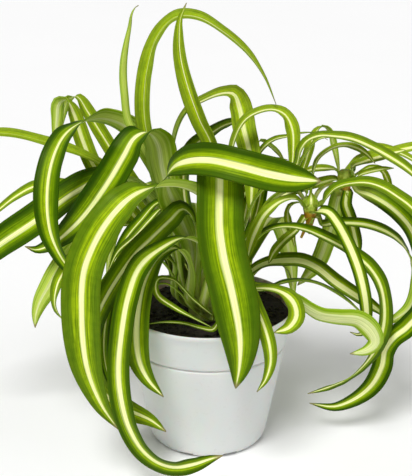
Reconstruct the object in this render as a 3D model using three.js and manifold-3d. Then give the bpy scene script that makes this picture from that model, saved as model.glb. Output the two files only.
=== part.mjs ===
// A spider plant with striped, arching leaves, growing in a white four-inch nursery pot.
// Millimetres, +Z up. The origin is the centre of the pot's underside, and -Y is the plant's front.
import * as THREE from 'three';
import { mergeVertices } from 'three/addons/utils/BufferGeometryUtils.js';
import Module from 'manifold-3d';

const wasm = await Module();
wasm.setup();

// The pot: thin moulded plastic with a stacking step below the rim.
const POT_HEIGHT = 87;
const RIM_RADIUS = 52;
const BASE_RADIUS = 35.5;
const WALL = 1.2;
const FLOOR = 1.4;
const CORNER = 4;
const STEP_HEIGHT = 64;
const STEP_DEPTH = 1.2;
const NOTCHES = 8;
const NOTCH_WIDTH = 9;
const NOTCH_HEIGHT = 2.6;
const POT_SIDES = 48;

// The soil fills the pot to a little below the rim, with a plain hole for the crown.
const SOIL_TOP = 81;
const SOIL_GAP = 0.3;
const SOIL_HOLE = 13;
const SOIL_HOLE_FLOOR = 60;
const SOIL_SIDES = 40;

// The crown: the short stem that every leaf of the mother plant grows from.
const CROWN_RADIUS = 12;
const CROWN_BOTTOM = 62;
const CROWN_TOP = 103;
const ROOTS = 5;
const RINGS = [
  { height: 84, radius: 12.0, rise: 48 },
  { height: 89.5, radius: 11.6, rise: 60 },
  { height: 95, radius: 10.6, rise: 70 },
  { height: 100, radius: 8.4, rise: 80 },
];
const FIRST_REACH = 13;
const LEAF_GAP = 0.5;
const SHORT_DEPTH = 2.5;

// Leaves are laid out as they are seen from the front, from a little above.
// A station is [across, up, back, turn]: millimetres right of the middle and above MIDDLE_HEIGHT on a
// plane square to that line of sight, millimetres behind the pot's axis, and the leaf's turn about
// its own run in degrees. At 0 the upper face looks to the front, at 90 to the left of its run.
const LOOK_DOWN = 19.5 * Math.PI / 180;
const EYE_DISTANCE = 600;
const MIDDLE_HEIGHT = 128;
const MIDDLE_ACROSS = -1.3;

// The blade: a thin channelled strip.
const BLADE = 0.7;
const BASE_SHARE = 0.42;
const TIP_WIDTH = 1.3;
const FOLD_BASE = 52;
const FOLD_MIDDLE = 24;
// its width starts to close at this share of its length
const TAPER = 0.7;
// a wide leaf stands a little farther from the crown
const WIDE_GAP = 0.045;
// sections: the length and the twist in radians from one to the next, and the steps they are picked from
const SEGMENT = 13;
const TWIST_STEP = 0.7;
const WALK = 240;

const LINE_OF_SIGHT = new THREE.Vector3(0, Math.cos(LOOK_DOWN), -Math.sin(LOOK_DOWN));

// The place of a station in the part's own frame.
function placed(across, up, back) {
  // distance along the line of sight depends on the height, which is solved in closed form
  const c = Math.cos(LOOK_DOWN);
  const s = Math.sin(LOOK_DOWN);
  const rise = (up * (EYE_DISTANCE + back * c) / EYE_DISTANCE - back * s) / (c + up * s / EYE_DISTANCE);
  const depth = EYE_DISTANCE + back * c - rise * s;
  const x = across * depth / EYE_DISTANCE + MIDDLE_ACROSS;
  return new THREE.Vector3(x, back, MIDDLE_HEIGHT + rise);
}

const GREEN = new THREE.MeshStandardMaterial({ color: 0x5f8f1c, roughness: 0.5, metalness: 0 });
const PALE = new THREE.MeshStandardMaterial({ color: 0x9bb35a, roughness: 0.55, metalness: 0 });
const WHITE = new THREE.MeshStandardMaterial({ color: 0xeceaf0, roughness: 0.4, metalness: 0 });
const PEAT = new THREE.MeshStandardMaterial({ color: 0x1f1712, roughness: 0.95, metalness: 0 });

// ---- solids ---------------------------------------------------------------------------------

function solid(geometry) {
  const bare = new THREE.BufferGeometry();
  const source = geometry.index ? geometry.toNonIndexed() : geometry;
  bare.setAttribute('position', source.getAttribute('position').clone());
  const merged = mergeVertices(bare, 1e-4);
  const mesh = new wasm.Mesh({
    numProp: 3,
    vertProperties: new Float32Array(merged.getAttribute('position').array),
    triVerts: new Uint32Array(merged.index.array),
  });
  return new wasm.Manifold(mesh);
}

function geometryOf(body) {
  const mesh = body.getMesh();
  const geometry = new THREE.BufferGeometry();
  geometry.setAttribute('position', new THREE.BufferAttribute(new Float32Array(mesh.vertProperties), 3));
  geometry.setIndex(new THREE.BufferAttribute(new Uint32Array(mesh.triVerts), 1));
  return geometry;
}

function turned(profile, sides) {
  const geometry = new THREE.LatheGeometry(profile.map(([r, z]) => new THREE.Vector2(r, z)), sides);
  geometry.rotateX(Math.PI / 2);
  return geometry;
}

const plant = new THREE.Group();

function add(name, geometry, material) {
  const mesh = new THREE.Mesh(geometry, material);
  mesh.name = name;
  plant.add(mesh);
}

// ---- the blade ------------------------------------------------------------------------------

// A smooth run through points, with its direction, at any share of the way.
function runThrough(points) {
  return new THREE.CatmullRomCurve3(points, false, 'centripetal');
}

// The side direction of each station, from its turn about the run.
function sideOf(direction, turn) {
  const right = new THREE.Vector3().crossVectors(LINE_OF_SIGHT, direction).normalize();
  const front = new THREE.Vector3().crossVectors(right, direction);
  const angle = turn * Math.PI / 180;
  return right.multiplyScalar(Math.cos(angle)).addScaledVector(front, Math.sin(angle));
}

// A direction part of the way round from one to another.
function between(from, to, share) {
  const angle = Math.min(from.angleTo(to), 3);
  if (angle < 0.01) {
    return from.clone();
  }
  return from.clone().multiplyScalar(Math.sin((1 - share) * angle) / Math.sin(angle))
    .addScaledVector(to, Math.sin(share * angle) / Math.sin(angle));
}

// Width along the blade, as a share of its full width: narrow at the base, long taper to the tip.
function widthShare(t, taper) {
  const opening = BASE_SHARE + (1 - BASE_SHARE) * Math.min(1, t / 0.4) ** 1.25;
  const closing = t < taper ? 1 : Math.cos((t - taper) / (1 - taper) * Math.PI / 2) ** 0.8;
  return opening * closing;
}

function foldAngle(t) {
  const share = Math.min(1, t / 0.35);
  return (FOLD_BASE + (FOLD_MIDDLE - FOLD_BASE) * share) * Math.PI / 180;
}

function blade({ width, stations, start, taper = TAPER }) {
  const points = stations.map(([across, up, back]) => placed(across, up, back));
  const turns = stations.map(([, , , turn]) => turn);
  if (start) {
    points.unshift(...start.points);
    turns.unshift(...start.points.map(() => null));
  }
  const run = runThrough(points);
  const last = points.length - 1;
  const sides = points.map((_, i) =>
    (turns[i] === null ? null : sideOf(run.getTangent(i / last), turns[i])));
  if (start) {
    start.points.forEach((_, i) => {
      sides[i] = start.side;
    });
  }
  sides.forEach((side, i) => {
    if (side === null) {
      sides[i] = sides[i - 1].clone().add(sides[i + 1] ?? sides[i - 1]).normalize();
    }
  });
  run.arcLengthDivisions = 400;
  run.updateArcLengths();
  const length = run.getLength();
  const frameAt = (t) => {
    const u = run.getUtoTmapping(t);
    const along = run.getTangent(u);
    const place = Math.min(last - 1e-9, u * last);
    const k = Math.floor(place);
    const share = place - k;
    const side = between(sides[k], sides[k + 1], share * share * (3 - 2 * share));
    side.addScaledVector(along, -side.dot(along)).normalize();
    return { t, at: run.getPoint(u), side, out: new THREE.Vector3().crossVectors(side, along) };
  };
  // a section every SEGMENT, and closer together where the blade twists
  const fine = Array.from({ length: WALK + 1 }, (_, i) => frameAt(i / WALK));
  const sections = [fine[0]];
  let gone = 0;
  for (let i = 1; i < WALK; i += 1) {
    gone += length / WALK / SEGMENT + fine[i].side.angleTo(fine[i - 1].side) / TWIST_STEP;
    if (gone > 1 && i < WALK - 3) {
      sections.push(fine[i]);
      gone = 0;
    }
  }
  sections.push(fine[WALK]);
  const steps = sections.length - 1;

  const rings = [];
  for (const { t, at, side, out } of sections) {
    const half = Math.max(TIP_WIDTH, width * widthShare(t, taper)) / 2;
    const fold = foldAngle(t);
    const across = half * Math.cos(fold * 0.6);
    const lift = half * Math.sin(fold) * 0.55;
    const corner = (s, n) => at.clone().addScaledVector(side, s).addScaledVector(out, n);
    rings.push([
      corner(-across, lift), corner(0, 0), corner(across, lift),
      corner(across, lift - BLADE), corner(0, -BLADE), corner(-across, lift - BLADE),
    ]);
  }

  const faces = [];
  const quad = (a, b, c, d) => faces.push(a, b, c, a, c, d);
  for (let i = 0; i < steps; i += 1) {
    const [p, q] = [rings[i], rings[i + 1]];
    quad(p[0], p[1], q[1], q[0]);
    quad(p[1], p[2], q[2], q[1]);
    quad(p[2], p[3], q[3], q[2]);
    quad(p[4], q[4], q[3], p[3]);
    quad(p[5], q[5], q[4], p[4]);
    quad(p[5], p[0], q[0], q[5]);
  }
  const [p, q] = [rings[0], rings[steps]];
  quad(p[1], p[0], p[5], p[4]);
  quad(p[2], p[1], p[4], p[3]);
  quad(q[0], q[1], q[4], q[5]);
  quad(q[1], q[2], q[3], q[4]);
  const geometry = new THREE.BufferGeometry().setFromPoints(faces);
  return mergeVertices(geometry, 1e-4);
}

// Where a mother leaf leaves the crown: its ring, counted from the lowest, and its bearing in degrees.
// A short leaf that is one piece with the crown is sunk into it instead of standing clear.
function crownStart(ring, bearing, clear) {
  const { height, radius, rise } = RINGS[ring];
  const angle = bearing * Math.PI / 180;
  const outward = new THREE.Vector3(Math.cos(angle), Math.sin(angle), 0);
  const side = new THREE.Vector3(-Math.sin(angle), Math.cos(angle), 0);
  const climb = rise * Math.PI / 180;
  const base = outward.clone().multiplyScalar(radius + clear).setZ(height);
  const next = base.clone().addScaledVector(outward, FIRST_REACH * Math.cos(climb));
  next.z += FIRST_REACH * Math.sin(climb);
  return { points: [base, next], side: side.negate() };
}

// The long leaves: name, full width, the crown's ring and the bearing it leaves it at, and its stations.
// A last number is the share of the leaf's length where it starts to narrow, if it does so late.
const LEAVES = [
  ['leaf_left_far', 10, 1, 138,
    [[-25, 5, 20, -120], [-50, 36, 25, -90], [-66, 46, 27, -60], [-92, 56, 28, -50],
      [-122, 62, 30, -50], [-145, 58, 30, -50], [-160, 48, 28, -50]]],
  ['leaf_left_hoop', 16, 2, 138,
    [[-18, 10, 15, -165], [-31, 45, 18, -160], [-44, 64, 20, -145], [-60, 71, 16, -120],
      [-73, 68.5, 6, -75], [-84, 60, -4, -40], [-91, 45, -14, -20], [-94, 25, -23, -12],
      [-92.5, 5, -30, -15], [-87, -9, -35, -35], [-78, -22, -38, -45], [-68, -34, -38, -45]]],
  ['leaf_left_hairpin', 11, 0, 124,
    [[-28, -4, 26, 0], [-50, 22, 32, 0], [-66, 42, 34, -10], [-73, 58, 36, -20], [-78, 73, 38, -40],
      [-83, 82, 39, -90], [-87, 79, 38, -150], [-88, 70, 36, -175], [-89, 58, 34, -180],
      [-90, 48, 33, -180]]],
  ['leaf_left_peak', 9.5, 1, 120,
    [[-22, 0, 34, 0], [-38, 25, 42, 0], [-52, 46, 44, 0], [-62, 62, 45, -10], [-70, 75, 46, -20],
      [-76, 83.5, 48, -60], [-81, 82, 50, -130], [-84, 74, 50, -160], [-86, 62, 48, -180]]],
  ['leaf_left_wide', 22, 1, 166,
    [[-24, 8, 9.5, -150], [-42, 32, 11, -100], [-58, 36, 11, -60], [-76, 28, 10, -30],
      [-102, 9.5, 6, -22], [-122, -4, 4, -22], [-140, -19, 4, -20], [-154, -34, 6, -10]]],
  ['leaf_left_thin', 9.5, 0, 146,
    [[-26, -6, 14, -110], [-45, 24, 18, -90], [-62, 32, 20, -70], [-76, 31, 20, -55],
      [-90, 32, 20, -45], [-102, 30, 19, -40], [-113, 24, 18, -40], [-122, 17, 17, -40],
      [-138, 4, 15, -40]]],
  ['leaf_left_dark', 20, 2, 186,
    [[-16, -2, -2, -130], [-21, 20, -1, -170], [-26, 42, -3, -165], [-28.5, 56, -6, -150],
      [-34, 62.5, -11, -90], [-42, 59, -15, -40], [-48, 49, -18, -20], [-57, 34, -20, -15],
      [-69, 17, -17, -15], [-80, 5, -13, -15], [-90, -3, -11, -20], [-100, -7, -13, -25],
      [-107, -5, -16, -30]]],
  ['leaf_left_long', 22, 2, 252,
    [[5, -2, -18, -150], [3, 18, -27, -125], [-10, 29, -40, -105], [-28, 30.5, -53, -90],
      [-42, 25.5, -60, -50], [-52, 17, -64, -30], [-64, 0, -67, -15], [-72, -20, -69, -8],
      [-73.5, -45, -71, -5], [-70.5, -75, -71, -5], [-62, -98, -69, -10], [-52, -113, -66, -15]]],
  ['leaf_left_inner_stripe', 14, 1, 244,
    [[-5, -8, -18, -110], [-8, 12, -28, -80], [-14, 17, -31, -50], [-21, 10.6, -34, -25],
      [-33, -1, -41, -20], [-42, -10, -44, -20], [-57, -32, -50, -20], [-64, -47, -53, -20],
      [-66, -63, -54, -20], [-64, -80, -54, -30]]],
  ['leaf_left_inner_thin', 6, 1, 223,
    [[-18, -6, -10.5, -150], [-20.5, 14, -12, -130], [-26, 17.5, -18, -90], [-33, 11, -24, -40],
      [-42, 1, -29, -30], [-52, -8, -33, -30], [-58, -20, -35, -30]]],
  ['leaf_left_inner_dark', 8, 1, 207,
    [[-15, 0, -6, -140], [-18, 19, -8, -120], [-28, 21, -11, -60], [-38, 11, -16, -40],
      [-47, 0, -17, -30], [-54, -14, -16, -30], [-58, -30, -16, -30]]],
  ['leaf_left_curl', 13, 0, 262,
    [[2, -11, -29, -110], [-12, 0, -43, -90], [-27, -6.5, -54, -50], [-39, -17, -58, -20],
      [-46, -35, -64, -10], [-50, -58, -68, -8], [-51.5, -80, -70, -8], [-49.5, -98, -72, -15],
      [-45.5, -112, -73, -25], [-38, -125, -74, -35], [-29, -132.5, -75, -40], [-19, -135.5, -76, -35],
      [-8, -134, -76, -15], [3, -130.5, -75, 0], [10, -128.5, -74, 0]], 0.86],
  ['leaf_left_shadow', 9, 0, 212,
    [[-19, -24, -17, -90], [-31, -11, -25, -70], [-45, -17, -34, -40], [-55, -32, -41, -25],
      [-59.5, -52, -48, -20], [-60, -70, -51, -20], [-57, -84, -53, -20], [-54, -93, -54, -20]]],
  ['leaf_left_low', 14, 0, 188,
    [[-20, -14, -8, -90], [-38, -9, -18, -60], [-54, -24, -31, -40], [-63, -45, -38, -30],
      [-66, -66, -42, -25], [-64.5, -84, -45, -20], [-57, -95, -49, -10], [-45, -102, -53, 0],
      [-33, -107.5, -56, 5], [-23.5, -114.5, -57, 5]], 0.8],
  ['leaf_left_front', 15, 0, 237,
    [[-10, -16, -26, -100], [-18, -6, -33, -80], [-28, -11, -39, -50], [-36, -24, -46, -20],
      [-40, -40, -53, -10], [-41, -60, -58, -5], [-39, -74, -60, 5], [-34, -84, -61, 15],
      [-25, -94, -60, 20]]],
  ['leaf_left_pale', 13, 0, 166,
    [[-24, -12, 0.5, -60], [-46, 8, 4, -100], [-62, 8, 3, -140], [-76, -4, 0, -165],
      [-86, -17, -6, -175], [-93, -29, -10, -178], [-98, -38, -12, -178], [-100.5, -46, -13, -180],
      [-101, -53, -13, -180]], 0.78],
  ['leaf_left_bend', 9, 1, 192,
    [[-20, -6, -1, -120], [-34, 4, -5, -90], [-52, 8, -10, -60], [-68, 0, -17, -40],
      [-80, -14, -24, -30], [-88, -28, -29, -30], [-89, -41, -33, -60], [-83, -49, -36, -90],
      [-74, -49, -38, -110]]],

  ['leaf_top_thin', 5, 3, 165,
    [[-16, 20, 2, 150], [-30, 40, 4, 150], [-40, 58, 5, 155], [-46, 70, 7, 160],
      [-48, 85, 9, 160], [-48.8, 95, 11, 160], [-48.5, 105, 12, 160], [-47, 115, 13, 155],
      [-45, 125, 15, 150], [-44.2, 131, 14, 150], [-43.2, 134, 14, 150], [-41.5, 136.5, 14, 150],
      [-39.8, 137.5, 14, 150]]],
  ['leaf_top_arch', 12, 3, 135,
    [[-12, 5, 7, 60], [-25.5, 35, 10, 50], [-35, 62, 12, 40], [-37, 80, 14, 35], [-35, 100, 16, 40],
      [-29, 119, 16, 45], [-18, 130.5, 15, 50], [-5, 130.5, 14, 50], [10, 122, 12, 55],
      [24, 110, 10, 60], [34, 96, 8, 65], [41.5, 79, 6, 70]]],
  ['leaf_top_upright', 11, 3, 338,
    [[6, 0, -2, 35], [6, 30, -3, 35], [3, 55, -3, 35], [-4, 70, -2, 35], [-11, 90, -1, 35],
      [-15, 107, 0, 35], [-15.8, 120, 0, 35], [-15, 130, 0, 35], [-13.3, 134.5, 0, 35],
      [-11.5, 139, 0, 35]]],
  ['leaf_top_fold', 15, 2, 93,
    [[-10, 5, 25, 100], [-19, 40, 30, 90], [-18, 60, 30, 80], [-11, 75, 29, 75], [0, 82, 28, 65],
      [10, 85.5, 28, 60], [16.5, 85, 27, 45], [20, 77, 25, 20], [22.5, 64, 20, 10],
      [25, 54, 15, 5], [27, 42, 10, 0], [27, 30, 6, 0], [26.5, 18, 4, 0], [26, 9, 3, 0]]],
  ['leaf_top_dark', 12, 1, 90,
    [[-10, 10, 36, 40], [-13, 40, 43, 40], [-8, 53, 44, 40], [2, 61, 44, 45], [12, 67, 43, 50],
      [20, 68, 41, 60], [25, 61, 39, 80], [26, 52, 38, 90]]],
  ['leaf_top_hoop', 10.5, 3, 10,
    [[13, 8, 2, 90], [14.5, 35, 2, 80], [16.5, 57, 3, 70], [24, 70.5, 5, 65], [38, 76, 6, 60],
      [46.5, 73, 5, 45], [51, 64, 3, 15], [51.5, 52, 1, 5], [50.5, 40, -1, 0], [49, 33, -2, 0]]],
  ['leaf_back_thin', 6, 1, 60,
    [[18, 20, 27, 60], [26, 38, 30, 60], [30, 48, 33, 55], [35.5, 55, 33, 55], [41, 58.5, 32, 60],
      [48, 60, 31, 65], [57, 62, 30, 70], [65, 62, 29, 80], [72, 58, 28, 90]]],
  ['leaf_back_hoop', 7, 1, 38,
    [[24, -2, 24, 60], [42, 20, 34, 60], [56, 38, 39, 40], [61, 52, 41, 30], [64.5, 62, 42, 60],
      [69, 66, 42, 90], [73, 63, 42, 110], [76, 53, 41, 150], [78, 43, 40, 170], [79, 36, 39, 180]]],
  ['leaf_back_low', 8, 0, 75,
    [[17, -6, 26, 40], [26, 28, 34, 30], [28, 50, 38, 40], [32, 57.5, 42, 90], [38, 54.5, 42, 120],
      [43, 50, 41, 150], [47, 44, 40, 170]]],
  ['leaf_inner_dark', 8, 2, 24,
    [[17, -12, 7, 0], [24, 0, 10, 0], [29, 12, 12, 0], [32, 24, 13, 0], [34, 36, 13, 10],
      [37.5, 45, 13, 50], [43, 47.3, 13, 80], [49, 46, 12, 90]]],
  ['leaf_front_across', 19, 3, 225,
    [[-9, -4, -12.5, 165], [-18, 18, -22, 150], [-23.5, 33, -26, 105], [-19, 42, -35, 60],
      [-10, 45.5, -43, 25], [3, 45.8, -51, 12], [20, 42.2, -57, 8], [36, 38, -58, 8],
      [50, 35.3, -57, 8], [60, 34.3, -55, 10], [68, 33.5, -52, 15]], 0.84],
  ['leaf_front_hanging', 26, 3, 280,
    [[10, -2, -14, 180], [11, 25, -16, 180], [10, 41, -21, 178], [9, 46.5, -30, null],
      [8.5, 40, -41, 0], [8.5, 25, -49, 0], [8.6, 5, -56, 0], [11, -12, -60, 0],
      [15.5, -30, -62, 0], [19, -48, -65, 0], [20.5, -62, -66, 3], [20, -76, -66, 5],
      [17.5, -89, -65, 8]], 0.76],
  ['leaf_front_crescent', 8.5, 1, 290,
    [[14, -16, -24, 0], [24, -28, -42, 0], [30, -42, -55, 0], [34.5, -53, -60, 0],
      [37.5, -64, -62, 0], [38, -74, -61, 0], [35, -84, -60, 0], [30, -91, -59, 0]]],
  ['leaf_over_rim', 10, 0, 300,
    [[15, -33, -26, 90], [27, -30, -32, 80], [42, -31, -36, 60], [51, -37, -38, 20],
      [53.5, -46, -40, 0], [49, -53, -42, -10], [40, -56, -44, -20]], 0.8],
  ['leaf_right_arch', 11, 2, 350,
    [[16, -14, -3, 90], [23, 6, -4, 90], [30, 24, -6, 90], [40, 33, -9, 90], [49, 36, -10, 90],
      [54, 44, -10, 80], [56, 52, -10, 75], [60, 57.5, -9, 70], [67, 60.3, -8, 65], [76, 60, -6, 60],
      [86, 58.5, -4, 55], [96, 54.5, -2, 50], [108, 48, 0, 45], [120, 40, 2, 45], [132, 27, 4, 40],
      [139, 12, 5, 30]]],
  ['leaf_right_high', 8, 2, 47,
    [[17, -8, 17, 80], [26, 14, 23, 80], [36, 33, 25, 80], [50, 36, 24, 80], [58, 48, 24, 80],
      [66, 58, 23, 75], [76, 60, 22, 65], [88, 58.5, 20, 60], [97, 54.5, 18, 55], [106, 53, 17, 50],
      [115, 50, 16, 50], [124, 45, 15, 50], [136, 34, 14, 45], [143, 22, 13, 40]]],
  ['leaf_right_low', 14, 0, 322,
    [[22, -30, -20, 60], [32, -29, -23, 80], [46, -32, -26, 100], [57, -40, -29, 120],
      [67, -46, -32, 130], [78, -47.8, -33, 135], [90, -49, -34, 140], [97.5, -55, -34, 160],
      [100, -62, -33, 175], [95, -66.5, -32, 180], [85, -68.5, -31, 180]]],
  ['leaf_right_band', 10.5, 0, 353,
    [[24, -31, -5, 80], [34, -31, -8, 80], [44, -27, -12, 85], [56, -25.3, -14, 85],
      [66, -27, -15, 85], [76, -32, -16, 85], [86, -39, -17, 85], [92, -45, -17, 85],
      [97, -51, -17, 80]]],
  ['leaf_right_pale', 13, 0, 14,
    [[27, -20, 4, 60], [36, -15, 4, 60], [48, -13.5, 2, 50], [57, -14, 1, 45], [66, -18, 0, 45],
      [76, -26, -1, 45], [88, -34, -3, 45], [96, -39, -4, 45], [102, -43, -5, 45],
      [106, -48, -6, 50]], 0.8],
  ['leaf_right_sweep', 13, 1, 332,
    [[18, -20, -11, 90], [27, -5, -13, 80], [35, 3.5, -14, 75], [46, 6.5, -13, 70], [58, 5, -11, 65],
      [68, 1, -9, 60], [78, -4, -8, 55], [88, -10, -8, 50], [97, -18, -9, 45], [103, -28, -10, 40],
      [105.5, -42, -11, 40], [104.3, -55, -12, 40], [99.5, -67, -12, 45], [92.5, -76, -12, 60],
      [85, -82.5, -12, 75], [78, -86, -12, 60], [70, -89, -12, 30], [60, -92, -12, 20]]],
  ['leaf_back_middle', 16, 3, 95,
    [[2, 10, 24, 0], [3, 35, 44, 0], [3, 44, 62, null], [3, 38, 82, 180], [3, 18, 98, 180],
      [3, -10, 106, 180], [3, -35, 108, 180]]],
  ['leaf_back_middle_low', 14, 0, 100,
    [[-3, -8, 34, 0], [-5, 18, 60, 0], [-6, 20, 78, null], [-8, 8, 94, 180], [-10, -16, 102, 180],
      [-11, -42, 104, 180]]],
  ['leaf_back_left', 8, 2, 115.5,
    [[-20, 8, 30, 0], [-30, 28, 50, 0], [-38, 32, 64, null], [-48, 22, 82, 180],
      [-55, 0, 94, 180], [-59, -24, 98, 180]]],
  ['leaf_back_right', 12, 2, 67,
    [[8, 5, 28, 0], [13, 24, 48, 0], [16, 30, 62, null], [20, 22, 80, 180], [24, 2, 92, 180],
      [26, -22, 96, 180]]],
  ['leaf_back_right_low', 13, 0, 56,
    [[22, -14, 30, 0], [34, 8, 52, 0], [40, 12, 68, null], [46, 4, 84, 180], [50, -14, 94, 180],
      [52, -36, 98, 180]]],
];

// Short leaves that are one piece with the crown: width, ring, bearing, stations.
const SHORT_LEAVES = [
  [4.5, 0, 286, [[3, -49, -20, -90], [-8, -42, -28, -90], [-16, -32, -32, -90], [-24, -27, -34, -90],
    [-32, -29, -36, -80], [-38, -36, -38, -70], [-40, -44, -38, -60]]],
  [4, 0, 280, [[3, -45, -22, -60], [-8, -36, -32, -60], [-20, -24.5, -38, -60], [-28.5, -24.5, -40, -40],
    [-29, -33, -42, 0], [-19, -41, -45, 40], [-8, -47, -48, 60], [4, -53, -50, 60]]],
  [3.5, 0, 282, [[7, -48, -28, 60], [4, -54, -37, null], [-4, -53, -41, -60],
    [-13, -50.5, -42, -70], [-25, -49.8, -40, -70], [-36, -51, -36, -70]]],
  [7, 0, 36, [[20, -32, 10, 80], [31, -19, 14, 80], [40, -14, 16, 80], [48, -19, 16, 90],
    [51, -28, 15, 100]]],
];

// The stolon: a thin runner from the crown that carries two young plants.
const STOLON_RADIUS = 1.3;
const STOLON = [
  [[1.3, -21.4, 0], [2, -12, 3], [5, 3, 8], [12, 16, 9], [22, 25, 9], [33, 31, 7], [44, 33.5, 6],
    [53, 29, 6], [59, 21, 4], [61.5, 13.5, 0]],
  [[61.5, 13.5, 0], [63.5, 21, 4], [66, 27, 8], [70, 31, 11], [76, 32, 13], [82, 30, 14]],
];

// A young plant: the place of its crown, its own leaves, and those that are one piece with it.
const YOUNG_GAP = 0.4;
const YOUNG_DEPTH = 1.2;
const YOUNG_REACH = 5;
const YOUNG_PROFILE = [
  [0, -8], [1.5, -7.6], [2.2, -5], [3.2, -1], [4.1, 3], [4.7, 6.5], [4.5, 9], [3, 10.6], [0, 11],
];
const YOUNG_RINGS = [
  { height: -0.5, radius: 3.4, rise: 25 },
  { height: 3, radius: 4.2, rise: 45 },
  { height: 6.5, radius: 4.8, rise: 62 },
  { height: 8.8, radius: 4.6, rise: 78 },
];
const YOUNG = {
  front: {
    at: [61.5, 13.5, 0],
    leaves: [
      ['plantlet_front_leaf_left', 9.5, 2, 190,
        [[54.5, 22.5, -3, -80], [49.5, 23.2, -6, -70], [43, 21, -10, -60], [35, 14, -14, -50],
          [30, 5, -18, -45], [26.5, -4, -22, -40], [24.5, -13, -25, -40]]],
      ['plantlet_front_leaf_hoop', 7, 3, 270,
        [[62.4, 27.5, 0, 90], [63.5, 38, -1, 85], [66, 46, 1, 75], [72, 51.5, 3, 70],
          [80, 54.5, 4, 60], [88, 53.5, 3, 40], [95, 49.5, 1, 30], [100, 44, 0, 30]]],
      ['plantlet_front_leaf_right', 10.5, 2, 340,
        [[68.5, 19.5, -3.5, 80], [72, 25, -6, 70], [77, 29.7, -8, 65], [86, 32.3, -10, 60],
          [96, 32.5, -12, 50], [105, 29.5, -13, 40], [113, 24.5, -14, 35], [121, 18.5, -15, 30],
          [128, 10, -16, 20], [133, 0, -16, 10]]],
      ['plantlet_front_leaf_white', 8, 1, 300,
        [[68, 16, -10, 40], [72.5, 15, -14, 15], [77.5, 9, -18, 0], [83, -1, -20, 0],
          [87, -10, -22, 0], [90.5, -20, -24, 0], [93.5, -33, -25, 0], [94.8, -45, -25, 0],
          [94, -54, -24, 10], [90.5, -57, -23, 30], [85, -55.5, -22, 30]]],
      ['plantlet_front_leaf_low', 10, 0, 355,
        [[68, 7.5, 0, 60], [76, 8.5, 0, 50], [85, 8.6, 0, 50], [95, 7.6, 0, 50], [105, 4.3, 0, 50],
          [113, -0.7, 0, 55], [119, -8, 0, 75], [123, -18, 0, 110], [124.5, -30, 0, 150],
          [120.5, -41, 0, 170], [112, -47.5, 0, 175], [101, -52, 0, 175]]],
    ],
    short: [
      [6, 3, 140, [[59, 28, 5, -120], [53, 29, 5, -110], [46, 27, 4, -120], [40, 22.5, 3, -130],
        [36, 16.5, 2, -140], [34, 10, 2, -150]]],
      [8, 0, 200, [[54, 5, 1, -60], [46, -2, -2, -50], [40, -9, -4, -40], [37, -15, -5, -40]]],
      [5, 1, 120, [[55, 21, 10, -90], [49, 18, 14, -60], [48.5, 11, 15, -20], [51, 2, 15, 0],
        [52.5, -5, 15, 0]]],
    ],
    roots: [[200, 10.5, 1.25], [265, 7, 1.1]],
  },
  back: {
    at: [82, 30, 14],
    leaves: [
      ['plantlet_back_leaf_top', 9.5, 2, 350,
        [[86.5, 42, 12, 80], [92, 44.5, 11, 65], [98, 46.5, 10, 55], [105, 48.5, 9, 50],
          [112, 50.5, 8, 50], [118, 52, 8, 50]]],
      ['plantlet_back_leaf_sweep', 13, 1, 320,
        [[89, 28, 9, 45], [97, 25, 6, 25], [106, 20, 3, 20], [114, 13.5, 0, 20],
          [121, 5, -3, 20], [127, -10, -6, 20], [129.5, -26, -7, 10], [127, -42, -6, 0],
          [119, -52.5, -5, -20], [111, -59, -4, -30], [106, -66, -3, -20], [104, -76, -4, -10],
          [98, -87, -5, 0], [88, -95, -5, 10], [76, -99.5, -5, 20], [66, -98.5, -4, 20],
          [61, -97.5, -3, 20]]],
      ['plantlet_back_leaf_dark', 8, 0, 287,
        [[82.5, 20, 9, 0], [84.8, 13, 7, 0], [87, 5, 6, 0], [89, -4, 5, 0], [90, -12, 5, 0]]],
      ['plantlet_back_leaf_grey', 11, 0, 232,
        [[77.5, 21, 20, 180], [75, 9, 22, 180], [71, -3, 23, 180], [66.5, -14, 23, 180],
          [61, -21, 22, 180], [54, -28, 21, 180]]],
      ['plantlet_back_leaf_high', 9.5, 3, 40,
        [[87.5, 43, 20, 70], [92, 47, 24, 60], [98, 49, 27, 55], [108, 50, 28, 50],
          [118, 52.5, 29, 50], [130, 55, 29, 50], [140, 57, 29, 50]]],
    ],
    short: [
      [6, 2, 310, [[87, 34.5, 6, 80], [91.5, 37.5, 2, 65], [98, 39.5, 1, 55], [105, 40.8, 1, 50],
        [111, 41.3, 1, 50]]],
      [7, 2, 185, [[77, 40, 14, -75], [69, 41, 13, -50], [61, 40, 12, -50], [56, 38, 12, -50]]],
      [9, 1, 195, [[77, 34.5, 12, -70], [66, 32, 10, -45], [54, 28.5, 9, -45], [44, 24, 7, -45],
        [36, 18, 5, -45], [30, 11, 4, -45]]],
      [5, 1, 30, [[90, 38, 20, 80], [98, 42, 22, 60], [104, 40, 22, 30], [107.5, 34, 21, 0],
        [110, 26, 20, 0]]],
    ],
    roots: [[230, 4, 1.3], [290, 3, 1.2]],
  },
};

// ---- pot ------------------------------------------------------------------------------------

const slope = (RIM_RADIUS - BASE_RADIUS) / POT_HEIGHT;
const outerAt = (z) => BASE_RADIUS + slope * z;
const innerStep = outerAt(STEP_HEIGHT) - STEP_DEPTH - WALL;

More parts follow.
